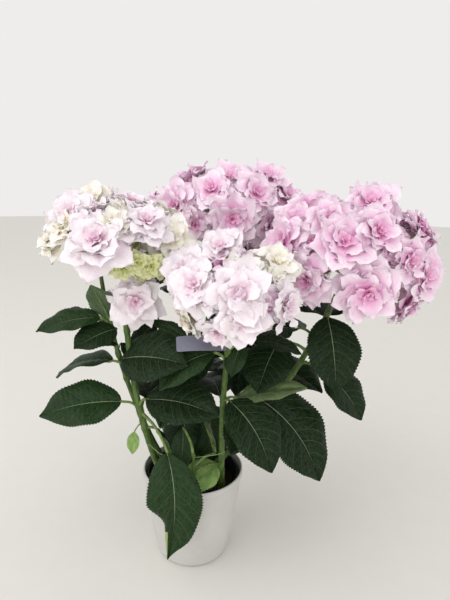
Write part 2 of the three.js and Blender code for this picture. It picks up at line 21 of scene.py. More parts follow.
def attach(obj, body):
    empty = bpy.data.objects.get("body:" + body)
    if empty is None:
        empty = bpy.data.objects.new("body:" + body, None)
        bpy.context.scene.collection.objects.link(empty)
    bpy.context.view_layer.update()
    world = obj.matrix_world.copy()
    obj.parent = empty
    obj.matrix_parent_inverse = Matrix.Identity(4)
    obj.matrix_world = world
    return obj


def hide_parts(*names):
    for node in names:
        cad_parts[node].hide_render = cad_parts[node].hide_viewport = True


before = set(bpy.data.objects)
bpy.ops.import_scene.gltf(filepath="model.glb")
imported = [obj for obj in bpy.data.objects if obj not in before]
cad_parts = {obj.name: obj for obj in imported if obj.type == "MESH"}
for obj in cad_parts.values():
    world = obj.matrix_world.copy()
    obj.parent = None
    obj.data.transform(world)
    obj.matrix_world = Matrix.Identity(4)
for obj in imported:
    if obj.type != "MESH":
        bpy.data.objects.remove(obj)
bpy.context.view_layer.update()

LOG = logging.getLogger("hydrangea")
MM = 0.001
GAP = 0.3
SOIL_TOP = 104.0
BODY = "root"
SURFACE_UV = "OFBake"
Socket = bpy.types.NodeSocket
Material = bpy.types.Material
Inputs = dict | Sequence
Outline = tuple[tuple[float, float], ...]
Grid = tuple[np.ndarray, np.ndarray]
UP = Vector((0.0, 0.0, 1.0))
# Directions that no stem runs along and that no floret faces, from which their sections are turned.
STEM_ASKEW = Vector((0.31, 0.95, 0.05))
FLORET_ASKEW = Vector((0.2, 0.3, 0.93))
# How the side veins of a leaf sweep to the margin: by this share of the blade, at this power.
VEIN_SWEEP = 0.24
VEIN_CURVE = 1.25


class Tone(Enum):
    """The shade that a floret is grown in."""

    BLUSH = 0
    CREAM = 1
    PINK = 2
    ROSE = 3
    YOUNG = 4
    HEART = 5
    ROSE_HEART = 6


class Shade(Enum):
    """The shade that a leaf is grown in."""

    DARK = 0
    MIDDLE = 1
    OLIVE = 2
    BRIGHT = 3


def facing(turn: float, rise: float) -> Vector:
    """Gives the unit vector at a turn about Z from +X and a rise above level.

    Args:
        turn: Degrees about Z.
        rise: Degrees above level.

    Returns:
        The direction.
    """
    level = math.cos(math.radians(rise))
    across = math.radians(turn)
    return Vector((level * math.cos(across), level * math.sin(across), math.sin(math.radians(rise))))


def linear(code: str) -> tuple[float, float, float, float]:
    """Turns an sRGB hex colour to linear red, green, blue and alpha.

    Args:
        code: Six hex digits.

    Returns:
        The linear colour.
    """
    parts = [int(code[i : i + 2], 16) / 255 for i in (0, 2, 4)]
    red, green, blue = (p / 12.92 if p <= 0.04045 else ((p + 0.055) / 1.055) ** 2.4 for p in parts)
    return red, green, blue, 1.0


def add(tree: bpy.types.NodeTree, kind: str, inputs: Inputs = (), **settings: object) -> bpy.types.Node:
    """Adds a node with its settings and links.

    Args:
        tree: The tree that gets the node.
        kind: The node's type.
        inputs: A value or an output socket for each input.
        settings: Values of the node's own properties, or a colour ramp's stops with its two ends first.

    Returns:
        The node.
    """
    node = tree.nodes.new(kind)
    for place, (at, code) in enumerate(settings.pop("stops", ())):
        band = node.color_ramp.elements
        stop = band[place] if place < len(band) else band.new(at)
        stop.position, stop.color = at, linear(code)
    for name, value in settings.items():
        setattr(node, name, value)
    feed(node, inputs)
    return node


def feed(node: bpy.types.Node, inputs: Inputs) -> None:
    """Sets or links the inputs of a node.

    Args:
        node: The node.
        inputs: A value or an output socket for each input, by name or number, or in order.
    """
    for socket, value in inputs.items() if isinstance(inputs, dict) else enumerate(inputs):
        if isinstance(value, Socket):
            node.id_data.links.new(value, node.inputs[socket])
        else:
            node.inputs[socket].default_value = value


class Nodes:
    """A node tree that is built from the outputs of its nodes, whose types share the family's name."""

    tree: bpy.types.NodeTree
    family: str = ""

    def node(self, kind: str, inputs: Inputs = (), output: str | int = 0, **settings: object) -> Socket:
        """Adds a node and gives one of its outputs."""
        return add(self.tree, self.family + kind, inputs, **settings).outputs[output]


def linked(name: str, data: bpy.types.ID) -> bpy.types.Object:
    """Makes an object at the origin and links it to the scene.

    Args:
        name: The object's name.
        data: Its mesh, light or camera.

    Returns:
        The object.
    """
    made = bpy.data.objects.new(name, data)
    bpy.context.collection.objects.link(made)
    return made


class SeededDraw:
    """A repeatable draw of numbers from 0 to 1, the same as the source's."""

    SPREAD = 7919
    FACTOR = 16807
    MODULUS = 2147483647

    def __init__(self, seed: int) -> None:
        """Starts the draw from its seed."""
        self.state = seed * self.SPREAD

    def next(self) -> float:
        """Gives the next number from 0 to 1."""
        self.state = (self.state * self.FACTOR) % self.MODULUS
        return self.state / self.MODULUS

    def between(self, least: float, extra: float) -> float:
        """Gives least plus a drawn share of extra."""
        return least + extra * self.next()


class Path:
    """A smooth line read by share of its length."""

    def __init__(self, points: Sequence[Vector]) -> None:
        """Measures the chords between the points.

        Args:
            points: The points that the line runs through.
        """
        self.points = [p.copy() for p in points]
        steps = [(b - a).length for a, b in zip(self.points, self.points[1:])]
        self.marks = np.concatenate([[0.0], np.cumsum(steps)])
        self.length = float(self.marks[-1])

    def _chord(self, share: float) -> tuple[int, float]:
        """Finds the chord that a share of the length falls in.

        Args:
            share: The share, held between 0 and 1.

        Returns:
            The chord's number and how far along it the share falls.
        """
        reach = min(max(share, 0.0), 1.0) * self.length
        i = int(np.clip(np.searchsorted(self.marks, reach) - 1, 0, len(self.points) - 2))
        span = self.marks[i + 1] - self.marks[i]
        return i, (reach - self.marks[i]) / span if span else 0.0

    def at(self, share: float) -> Vector:
        """Gives the point at a share of the length."""
        i, part = self._chord(share)
        return self.points[i].lerp(self.points[i + 1], part)

    def tangent(self, share: float) -> Vector:
        """Gives the direction at a share of the length."""
        near = 0.5 / (len(self.points) - 1)
        return (self.at(min(1.0, share + near)) - self.at(max(0.0, share - near))).normalized()


def through(points: Sequence[Vector], steps: int = 8) -> Path:
    """Makes a centripetal Catmull-Rom path through a few points.

    Args:
        points: The points that the path passes through.
        steps: The chords between one point and the next.

    Returns:
        The path.
    """
    ends = [points[0] * 2 - points[1], *points, points[-1] * 2 - points[-2]]
    least = 1e-6
    line = []
    for a, b, c, d in zip(ends, ends[1:], ends[2:], ends[3:]):
        k0 = 0.0
        k1 = k0 + max((b - a).length, least) ** 0.5
        k2 = k1 + max((c - b).length, least) ** 0.5
        k3 = k2 + max((d - c).length, least) ** 0.5
        for step in range(steps):
            t = k1 + (k2 - k1) * step / steps
            first = a.lerp(b, (t - k0) / (k1 - k0))
            middle = b.lerp(c, (t - k1) / (k2 - k1))
            last = c.lerp(d, (t - k2) / (k3 - k2))
            early = first.lerp(middle, (t - k0) / (k2 - k0))
            late = middle.lerp(last, (t - k1) / (k3 - k1))
            line.append(early.lerp(late, (t - k1) / (k2 - k1)))
    return Path([*line, points[-1].copy()])


def grid_quads(rows: int, columns: int, wrap: bool = False) -> np.ndarray:
    """Lists the quads of a grid of corners, row by row.

    Args:
        rows: Rows of corners.
        columns: Corners in a row.
        wrap: Whether the last column joins the first.

    Returns:
        Four corner numbers for each quad.
    """
    i, j = np.meshgrid(np.arange(rows - 1), np.arange(columns if wrap else columns - 1), indexing="ij")
    right = (j + 1) % columns
    quads = [i * columns + j, i * columns + right, (i + 1) * columns + right, (i + 1) * columns + j]
    return np.stack(quads, axis=-1).reshape(-1, 4)


@dataclass
class Skin:
    """Corners and quads that are gathered before they become one mesh."""

    corners: list[np.ndarray] = field(default_factory=list)
    quads: list[np.ndarray] = field(default_factory=list)
    slots: list[np.ndarray] = field(default_factory=list)
    places: list[np.ndarray] = field(default_factory=list)
    creases: list[np.ndarray] = field(default_factory=list)
    count: int = 0

    def take(
        self,
        corners: np.ndarray,
        quads: np.ndarray,
        slot: int | np.ndarray = 0,
        places: np.ndarray | None = None,
        creases: np.ndarray | None = None,
    ) -> None:
        """Adds a patch.

        Args:
            corners: Its corners in millimetres.
            quads: Its quads, numbered from its own first corner.
            slot: The material slot of the patch, or one for each quad.
            places: The place of each corner on the surface's own UV map.
            creases: Pairs of corners whose edge is sharp.
        """
        self.corners.append(corners)
        self.quads.append(quads + self.count)
        self.slots.append(np.broadcast_to(np.asarray(slot), (len(quads),)))
        self.places.append(np.zeros((len(corners), 2)) if places is None else places)
        if creases is not None:
            self.creases.append(creases + self.count)
        self.count += len(corners)

    def mesh(self, name: str, materials: Sequence[Material], mapped: bool = False) -> bpy.types.Mesh:
        """Makes the mesh, smooth but for its creases.

        Args:
            name: The mesh's name.
            materials: Its material slots in order.
            mapped: Whether the surface's own UV map is kept.

        Returns:
            Sets a piece on its body, hides the nodes that it stands for, and reports it.
        """
        corners = np.concatenate(self.corners) * MM
        quads = np.concatenate(self.quads)
        # slot: Not used.
        made = bpy.data.meshes.new(name)
        made.vertices.add(len(corners))
        made.vertices.foreach_set("co", corners.ravel().astype(np.float32))
        made.loops.add(quads.size)
        made.loops.foreach_set("vertex_index", quads.ravel().astype(np.int32))
        made.polygons.add(len(quads))
        made.polygons.foreach_set("loop_start", np.arange(0, quads.size, 4, dtype=np.int32))
        made.polygons.foreach_set("material_index", np.concatenate(self.slots).astype(np.int32))
        made.polygons.foreach_set("use_smooth", np.ones(len(quads), dtype=bool))
        if mapped:
            layer = made.uv_layers.new(name=SURFACE_UV)
            places = np.concatenate(self.places)[quads.ravel()]
            layer.data.foreach_set("uv", places.ravel().astype(np.float32))
        for material in materials:
            made.materials.append(material)
        made.update(calc_edges=True)
        if self.creases:
            self._sharpen(made)
        made.validate()
        return made

    def _sharpen(self, made: bpy.types.Mesh) -> None:
        """Marks the creases as sharp edges.

        Args:
            made: The mesh of this skin.
        """
        ends = np.empty(len(made.edges) * 2, dtype=np.int32)
        made.edges.foreach_get("vertices", ends)
        ends = np.sort(ends.reshape(-1, 2), axis=1).astype(np.int64)
        wanted = np.sort(np.concatenate(self.creases), axis=1).astype(np.int64)
        big = self.count + 1
        sharp = np.isin(ends[:, 0] * big + ends[:, 1], wanted[:, 0] * big + wanted[:, 1])
        made.edges.foreach_set("use_edge_sharp", sharp)

    def piece(self, name: str, materials: Sequence[Material], mapped: bool = False) -> bpy.types.Object:
        """Makes the mesh and its object, with what mesh takes."""
        return linked(name, self.mesh(name, materials, mapped))


def two_sided(rows: int, columns: int) -> tuple[np.ndarray, np.ndarray, np.ndarray]:
    """Lists the quads of a thin closed blade whose two faces share their margin.

    Args:
        rows: Rows of corners from root to tip.
        columns: Corners across.

    Returns:
        The quads of both faces, whether each quad is underneath, and the margin's sharp edges. The
        upper face's corners come first, then the lower face's inner ones.
    """
    upper = grid_quads(rows, columns)
    number = np.arange(rows * columns).reshape(rows, columns)
    lower_number = number.copy()
    inner = (rows - 2) * (columns - 2)
    lower_number[1:-1, 1:-1] = rows * columns + np.arange(inner).reshape(rows - 2, columns - 2)
    lower = lower_number.ravel()[upper][:, ::-1]
    rim = np.concatenate([number[0], number[1:, -1], number[-1, -2::-1], number[-2:0:-1, 0]])
    creases = np.stack([rim, np.roll(rim, -1)], axis=1)
    below = np.repeat([0, 1], [len(upper), len(lower)])
    return np.concatenate([upper, lower]), below, creases


def both_faces(upper: np.ndarray, lower: np.ndarray) -> np.ndarray:
    """Joins the corners' values on a blade's upper and lower face as two_sided numbers them."""
    inner = lower[1:-1, 1:-1]
    return np.concatenate([upper.reshape(-1, upper.shape[-1]), inner.reshape(-1, lower.shape[-1])])


def tube(
    path: Path,
    radius: Callable[[float], float],
    sides: int,
    rows: int,
    relief: Callable[[float, float], float],
) -> Grid:
    """Sweeps a round section along a path and closes its ends to a point.

    Args:
        path: The line that it follows.
        radius: The radius at a share of the length.
        sides: Corners round the section.
        rows: Sections along the path.
        relief: How far the skin stands out at a share and an angle.

    Returns:
        The corners and the quads.
    """
    corners = []
    side = path.tangent(0).cross(STEM_ASKEW).normalized()
    for share in np.linspace(0, 1, rows):
        along = path.tangent(share)
        side = (side - along * side.dot(along)).normalized()
        other = along.cross(side)
        centre, plain = path.at(share), radius(share)
        for turn in np.linspace(0, 2 * math.pi, sides, endpoint=False):
            out = side * math.cos(turn) + other * math.sin(turn)
            corners.append(centre + out * (plain + relief(share, turn)))
    corners = np.array([tuple(c) for c in corners])
    return corners, np.concatenate([grid_quads(rows, sides, wrap=True), *end_caps(rows, sides)])


def end_caps(rows: int, sides: int) -> Grid:
    """Lists the quads that close the first and the last ring of a wrapped grid. Sides is even."""
    ring = np.array([(0, i, i + 1, i + 2) for i in range(1, sides - 2, 2)])
    return ring[:, ::-1], ring + (rows - 1) * sides


def lathe(section: Sequence[tuple[float, float]], sides: int) -> Grid:
    """Turns a half section about Z and closes both its ends.

    Args:
        section: Radius and height of each point, up the outside and down the inside.
        sides: Corners round the axis.

    Returns:
        The corners and the quads.
    """
    turn = np.linspace(0, 2 * np.pi, sides, endpoint=False)
    rings = [np.stack([r * np.cos(turn), r * np.sin(turn), np.full(sides, z)], axis=1) for r, z in section]
    quads = [grid_quads(len(section), sides, wrap=True), *end_caps(len(section), sides)]
    return np.concatenate(rings), np.concatenate(quads)


@dataclass(frozen=True)
class Finish:
    """A named finish, with its gloss on the principled node."""

    name: str
    roughness: float = 0.5
    ior: float = 1.45
    gleam: float = 0.5


class Shading(Nodes):
    """A finish's material: its principled node, and the patterns that the finishes share."""

    family = "ShaderNode"

    def __init__(self, finish: Finish) -> None:
        """Makes the material with its gloss and no colour yet.

        Args:
            finish: The finish.
        """
        self.material = bpy.data.materials.new(finish.name)
        self.material.use_nodes = True
        self.tree = self.material.node_tree
        self.shader = self.tree.nodes["Principled BSDF"]
        gloss = {"Roughness": finish.roughness, "IOR": finish.ior, "Specular IOR Level": finish.gleam}
        feed(self.shader, gloss)

    def off_middle(self, value: Socket) -> Socket:
        """Gives how far a value from 0 to 1 is from 0.5, as a share from 0 to 1."""
        return self.node("Math", [self.node("Math", [value, 2.0, -1.0], operation="MULTIPLY_ADD")],
                         operation="ABSOLUTE")

    def surface_place(self) -> tuple[Socket, Socket]:
        """Reads the places across and along, each from 0 to 1, from the surface's own UV map."""
        place = self.node("UVMap", uv_map=SURFACE_UV)
        return tuple(add(self.tree, "ShaderNodeSeparateXYZ", [place]).outputs)[:2]

    def finish(self, colour: Socket, height: Socket, strength: float, depth: float) -> None:
        """Gives the surface its colour and its bump, of a height from 0 to 1 and a depth in metres."""
        bump = {"Height": height, "Strength": strength, "Distance": depth}
        feed(self.shader, {"Base Color": colour, "Normal": self.node("Bump", bump)})


@cache
def material_of(finish: Finish) -> Material:
    """Makes a finish's material the first time it is asked for.

    Args:
        finish: The finish.

    Returns:
        The one material with that finish.
    """
    nodes = Shading(finish)
    finish.dress(nodes)
    return nodes.material


@dataclass(frozen=True)
class SepalFinish(Finish):
    """Hydrangea sepal: thin living tissue, so it is soft, matt and lit through, and paler at its rim."""

    roughness: float = 0.55
    ior: float = 1.42
    gleam: float = 0.4
    root: str = "d98ab6"
    body: str = "edb2d3"
    rim: str = "f6d9ea"
    shadow: str = "f4e0ec"
    veins_across: float = 26.0
    veins_along: float = 2.2
    vein_depth: float = 0.0004
    vein_share: float = 0.4
    lit_through: float = 0.12
    lit_depth: float = 0.001
    down: float = 0.12

    def dress(self, nodes: Shading) -> None:
        """Dresses the material. Fine veins fan out from the root, about 1 mm apart at the rim.

        Args:
            nodes: The material's nodes.
        """
        node = nodes.node
        across, along = nodes.surface_place()
        curve = node("Math", [nodes.off_middle(across), 2.5], operation="POWER")
        bulge = node("Math", [curve, 0.28], operation="MULTIPLY")
        aside = node("Math", [across, 0.5], operation="SUBTRACT")
        fan = node("Math", [aside, node("Math", [along, 0.35], operation="ADD")], operation="DIVIDE")
        spread = node("Math", [fan, self.veins_across], operation="MULTIPLY")
        spot = node("CombineXYZ", [spread, node("Math", [along, self.veins_along], operation="MULTIPLY")])
        veins = node("TexNoise", {"Vector": spot, "Scale": 1.0, "Detail": 2.0, "Roughness": 0.6})
        bulged = node("Math", [along, bulge], operation="ADD")
        uneven = node("Math", [veins, 0.22, -0.11], operation="MULTIPLY_ADD")
        place = node("Math", [bulged, uneven], operation="ADD")
        colour = node("ValToRGB", [place], stops=[(0.04, self.root), (0.95, self.rim), (0.45, self.body)])
        shade = node("ValToRGB", [veins], stops=[(0.3, self.shadow), (0.62, "ffffff")])
        lit_through = {
            "Subsurface Weight": self.lit_through,
            "Subsurface Radius": (1.0, 0.7, 0.85),
            "Subsurface Scale": self.lit_depth,
            "Sheen Weight": self.down,
        }
        feed(nodes.shader, lit_through)
        mix = {0: self.vein_share, 6: colour, 7: shade}
        shaded = node("Mix", mix, 2, data_type="RGBA", blend_type="MULTIPLY")
        nodes.finish(shaded, veins, 0.35, self.vein_depth)


@dataclass(frozen=True)
class LeafFinish(Finish):
    """Hydrangea leaf: leathery and quilted, with a soft gloss, and paler veins that net the blade."""

    deep: str = "0c1c0a"
    body: str = "122810"
    vein: str = "647c55"
    rib: str = "a9ba94"
    vein_share: float = 0.5
    net_share: float = 0.12
    relief: float = 0.0008
    veins: float = 8.5
    net_across: float = 16.0
    net_along: float = 2.6

    def dress(self, nodes: Shading) -> None:
        """Dresses the material. The side veins sweep forward to the margin, with a net of small ones between.

        Args:
            nodes: The material's nodes.
        """
        node, smooth = nodes.node, {"interpolation_type": "SMOOTHSTEP"}
        across, along = nodes.surface_place()
        off = nodes.off_middle(across)
        curve = node("Math", [off, VEIN_CURVE], operation="POWER")
        swept = node("Math", [curve, -VEIN_SWEEP], operation="MULTIPLY")
        forward = node("Math", [along, swept], operation="ADD")
        phase = node("Math", [forward, self.veins], operation="MULTIPLY")
        ahead = node("Math", [phase, 4.0], operation="ADD")
        edge = nodes.off_middle(node("Math", [ahead], operation="FRACT"))
        lines = node("MapRange", [edge, 0.88, 1.0, 0.0, 1.0], **smooth)
        inside = node("MapRange", [off, 1.1, 0.6, 0.0, 1.0], **smooth)
        side_veins = node("Math", [lines, inside], operation="MULTIPLY")
        taper = node("Math", [along, -0.9, 1.05], operation="MULTIPLY_ADD")
        from_rib = node("Math", [off, taper], operation="DIVIDE")
        midrib = node("MapRange", [from_rib, 0.028, 0.006, 0.0, 1.0], **smooth)
        weaker = node("Math", [side_veins, 0.75], operation="MULTIPLY")
        veins = node("Math", [midrib, weaker], operation="MAXIMUM")
        net_across = node("Math", [across, self.net_across], operation="MULTIPLY")
        net_along = node("Math", [phase, self.net_along], operation="MULTIPLY")
        spot = node("CombineXYZ", [net_across, net_along])
        meshes = {"Vector": spot, "Scale": 1.0, "Randomness": 0.85}
        cells = node("TexVoronoi", meshes, "Distance", feature="DISTANCE_TO_EDGE")
        mottle = node("TexNoise", {"Vector": spot, "Scale": 0.22, "Detail": 3.0, "Roughness": 0.6})
        body = node("ValToRGB", [mottle], stops=[(0.32, self.deep), (0.7, self.body)])
        threads = node("MapRange", [cells, 0.16, 0.0, 0.0, 1.0], **smooth)
        net = node("Math", [threads, self.net_share], operation="MULTIPLY")
        clear_veins = node("Math", [veins, self.vein_share], operation="MULTIPLY")
        shown = node("Math", [clear_veins, net], operation="MAXIMUM")
        netted = node("Mix", {0: shown, 6: body, 7: linear(self.vein)}, 2, data_type="RGBA")
        fading = node("Math", [along, -0.5, 0.85], operation="MULTIPLY_ADD")
        rib = node("Math", [midrib, fading], operation="MULTIPLY")
        ribbed = node("Mix", {0: rib, 6: netted, 7: linear(self.rib)}, 2, data_type="RGBA")
        raised = node("MapRange", [cells, 0.0, 0.4, 0.0, 1.0], **smooth)
        quilt = node("Math", [raised, 0.14], operation="MULTIPLY")
        nodes.finish(ribbed, node("Math", [quilt, veins], operation="SUBTRACT"), 0.7, self.relief)


@dataclass(frozen=True)
class StemFinish(Finish):
    """Hydrangea stem: smooth green skin over soft wood, streaked along and dotted with brown pores."""

    dark: str = "4d6a33"
    light: str = "86a054"
    pore: str = "5b4431"

    def dress(self, nodes: Shading) -> None:
        """Dresses the material. The pores are about 1 mm across and stand 3 mm apart.

        Args:
            nodes: The material's nodes.
        """
        node = nodes.node
        long = node("Mapping", {"Vector": node("TexCoord", output="Object"), "Scale": (1.0, 1.0, 0.3)})
        streaks = node("TexNoise", {"Vector": long, "Scale": 260.0, "Detail": 4.0})
        colour = node("ValToRGB", [streaks], stops=[(0.3, self.dark), (0.68, self.light)])
        cells = node("TexVoronoi", {"Vector": long, "Scale": 330.0}, "Distance", feature="F1")
        pores = node("MapRange", [cells, 0.24, 0.14, 0.0, 0.75], interpolation_type="SMOOTHSTEP")
        dotted = node("Mix", {0: pores, 6: colour, 7: linear(self.pore)}, 2, data_type="RGBA")
        nodes.finish(dotted, node("Math", [streaks, pores], operation="ADD"), 0.4, 0.0004)


@dataclass(frozen=True)
class MouldedFinish(Finish):
    """Moulded polypropylene: even colour, a satin skin with a faint orange peel, and a little dust."""

    colour: str = "e6e5e2"
    dust: str = "d6d4cf"
    peel: float = 0.00006

    def dress(self, nodes: Shading) -> None:
        """Dresses the material. The peel is 3 mm across and the dust gathers in 40 mm clouds.

        Args:
            nodes: The material's nodes.
        """
        node = nodes.node
        place = node("TexCoord", output="Object")
        dusty = node("TexNoise", {"Vector": place, "Scale": 26.0, "Detail": 5.0, "Roughness": 0.65})
        gloss = node("Math", [dusty, 0.16, self.roughness - 0.08], operation="MULTIPLY_ADD")
        feed(nodes.shader, {"Roughness": gloss})
        colour = node("ValToRGB", [dusty], stops=[(0.35, self.colour), (0.75, self.dust)])
        peel = node("TexNoise", {"Vector": place, "Scale": 330.0, "Detail": 1.0})
        nodes.finish(colour, peel, 0.35, self.peel)


@dataclass(frozen=True)
class SoilFinish(Finish):
    """Peat compost: dark, damp and crumbly, with lighter fibres."""

    dark: str = "1d1511"
    light: str = "4a382b"

    def dress(self, nodes: Shading) -> None:
        """Dresses the material. The lumps are 2 to 6 mm across.

        Args:
            nodes: The material's nodes.
        """
        place = nodes.node("TexCoord", output="Object")
        grain = {"Vector": place, "Scale": 220.0, "Detail": 6.0, "Roughness": 0.7}
        lumps = nodes.node("TexNoise", grain)
        colour = nodes.node("ValToRGB", [lumps], stops=[(0.35, self.dark), (0.75, self.light)])
        nodes.finish(colour, lumps, 0.9, 0.002)


# Moulded plastics: the glossy cover pot, the duller pot inside it, the satin card and the clear tie.
POT_WHITE = MouldedFinish("white_polypropylene", roughness=0.34, ior=1.49, colour="cecdca", dust="c5c4c0")
POT_BLACK = MouldedFinish("black_polypropylene", roughness=0.5, ior=1.49, colour="141517", dust="2a2927")
CARD_PLASTIC = MouldedFinish("lilac_card", roughness=0.42, ior=1.46, colour="8f93a8", dust="9da0b1")
TIE_PLASTIC = MouldedFinish("clear_tie", roughness=0.3, ior=1.46, colour="8fa07c", dust="b4bfa4")
# A matt floor, so that it takes only a soft shadow.
FLOOR_PAINT = MouldedFinish("pale_floor", roughness=0.8, ior=1.45, colour="e6e4de", dust="e4e2dc")
# What the compost is mixed from: dark peat, red-brown bark and white perlite.
PEAT = SoilFinish("peat_compost", roughness=0.95)
BARK_CRUMB = SoilFinish("bark_crumb", roughness=0.9, dark="3b2417", light="8a5638")
WHITE_GRIT = SoilFinish("perlite_grit", roughness=0.9, dark="a8a39a", light="d9d5cd")
# The stems are the darkest, the leaf stalks fresher, and the flower stalks pale and nearly cream.
STEM_GREEN = StemFinish("green_stem", 0.46, 1.42, dark="36501f", light="617d3c")
STALK_GREEN = StemFinish("leaf_stalk", 0.46, 1.42, dark="4f6d33", light="86a157", pore="6d5a3a")
FLOWER_STALK = StemFinish("flower_stalk", 0.5, 1.42, dark="8a9a5a", light="c4c98e", pore="9a6a5c")

# Sepals by tone: each is deeper at its root and nearly white at its rim. The hearts are the small inner ones.
SEPALS = {
    Tone.BLUSH: SepalFinish("blush_sepal", root="f2cadf", body="fbeff5", rim="fdf8fc"),
    Tone.CREAM: SepalFinish("cream_sepal", root="f1ebb0", body="fefae6", rim="fefdf8"),
    Tone.PINK: SepalFinish("pink_sepal", root="ea88c6", body="f4c2e3", rim="fceef8"),
    Tone.ROSE: SepalFinish("rose_sepal", root="f096ce", body="fdd5ef", rim="fef0fa"),
    Tone.YOUNG: SepalFinish("young_green_sepal", root="b2bc58", body="dce494", rim="f0f3c6"),
    Tone.HEART: SepalFinish("pink_heart_sepal", root="eaa4cf", body="f7dae9", rim="fbecf5"),
    Tone.ROSE_HEART: SepalFinish("rose_heart_sepal", root="e48ac4", body="f3b2d8", rim="f9d4ea"),
}

# Leaves by shade, from the old dark ones to the young bright ones, which are matter.
LEAF_TOPS = {
    Shade.DARK: LeafFinish("dark_leaf", 0.42, 1.4, 0.18),
    Shade.MIDDLE: LeafFinish("middle_leaf", 0.42, 1.4, 0.24, deep="162c12", body="1e3918", vein="667d54"),
    Shade.OLIVE: LeafFinish("olive_leaf", 0.48, 1.4, 0.24, deep="435637", body="697d50", vein="9bac78"),
    Shade.BRIGHT: LeafFinish("bright_leaf", 0.48, 1.4, 0.24, deep="6e9346", body="a0bf72", vein="c8d9a2"),
}
# Undersides: paler and matter than the tops, with veins that stand out.
LEAF_UNDERS = {
    Shade.DARK: LeafFinish("leaf_underside", 0.6, 1.4, 0.3, deep="43573c", body="5f7453", vein="9cab83"),
    Shade.BRIGHT: LeafFinish("bright_underside", 0.6, 1.4, 0.3, deep="7f9a58", body="a9bf80", vein="cad8a8"),
}


@dataclass
class Shoot:
    """A shoot: its stem's foot and tip, how far its middle bows, and where leaves and flowers start."""

    name: str
    foot: tuple[float, float]
    tip: tuple[float, float, float]
    bow: tuple[float, float]
    leafy: float
    radius: tuple[float, float]
    neck: float = 1.0
    steps: int = 200
    flare: float = 1.4
    flare_ends: float = 30.0
    path: Path = field(init=False)

    def __post_init__(self) -> None:
        """Works out the stem's line, a parabola through its bowed middle."""
        start = Vector((*self.foot, SOIL_TOP + GAP))
        end = Vector(self.tip)
        control = (start + end) / 2 + Vector((2 * self.bow[0], 2 * self.bow[1], 0))
        shares = [i / self.steps for i in range(self.steps + 1)]
        self.path = Path([start * (1 - t) ** 2 + control * 2 * t * (1 - t) + end * t**2 for t in shares])

    def radius_at(self, share: float) -> float:
        """Gives the stem's radius at a share of its length. The foot flares a little."""
        foot, tip = self.radius
        return foot + (tip - foot) * share + self.flare * math.exp(-share * self.flare_ends)


SHOOTS = {
    shoot.name: shoot
    for shoot in (
        Shoot("left", (-36, -14), (-82, -26, 420), (-13, -22), 0.3, (4.4, 3), 0.8),
        Shoot("far_left", (-26, 2), (-112, -28, 398), (-11, -16), 0.48, (3.6, 2.4)),
        Shoot("front", (40, -22), (46, -86, 372), (-5, 1), 0.4, (4.2, 2.8), 0.88),
        Shoot("right", (12, 4), (188, -6, 404), (24, -2), 0.28, (4.6, 3), 0.86),
        Shoot("back", (2, 26), (36, 94, 440), (-8, 6), 0.3, (4.6, 3), 0.84),
        Shoot("rear_right", (28, 28), (128, 152, 366), (0, 12), 0.26, (4.2, 2.8), 0.84),
        Shoot("rear_left", (-26, 24), (-118, 112, 404), (-4, 10), 0.26, (4.2, 2.8), 0.84),
        Shoot("low_front", (4, -34), (2, -48, 172), (0, -2), 0.12, (3, 2)),
        Shoot("low_rear", (6, 42), (2, 60, 180), (0, 2), 0.12, (3, 2)),
    )
}


# Each floret is wound this far round the dome from the one before.
GOLDEN_ANGLE = 137.5
# How far a posed floret leans to the front, from the rise where that starts to where it is full.
LEAN = 0.45
LEAN_START, LEAN_SPAN = -25, 40
# Above this rise a floret leans less.
STEEP, STEEP_SHARE = 60, 0.65
# How many places are tried for the florets that fill a dome, and for the ones below them.
OUTER_TRIES, INNER_TRIES = 60, 160
# The inner florets: their width, how far out they are on the dome, and how far apart they stand.
INNER_ACROSS, INNER_REACH, INNER_APART = 58, 0.84, 27


@dataclass(frozen=True)
class Floret:
    """A floret on its dome: its direction, its width, its shade, its reach, and how it faces if it hangs.

    A posed floret leans to the front, where the photograph shows it.
    """

    turn: float
    rise: float
    across: float
    tone: Tone
    reach: float = 1.0
    face: tuple[float, float] | None = None
    posed: bool = True


@dataclass(frozen=True)
class Spot:
    """Where a floret sits, which way it faces, its width and its shade."""

    place: Vector
    normal: Vector
    across: float
    tone: Tone
    inner: bool = False


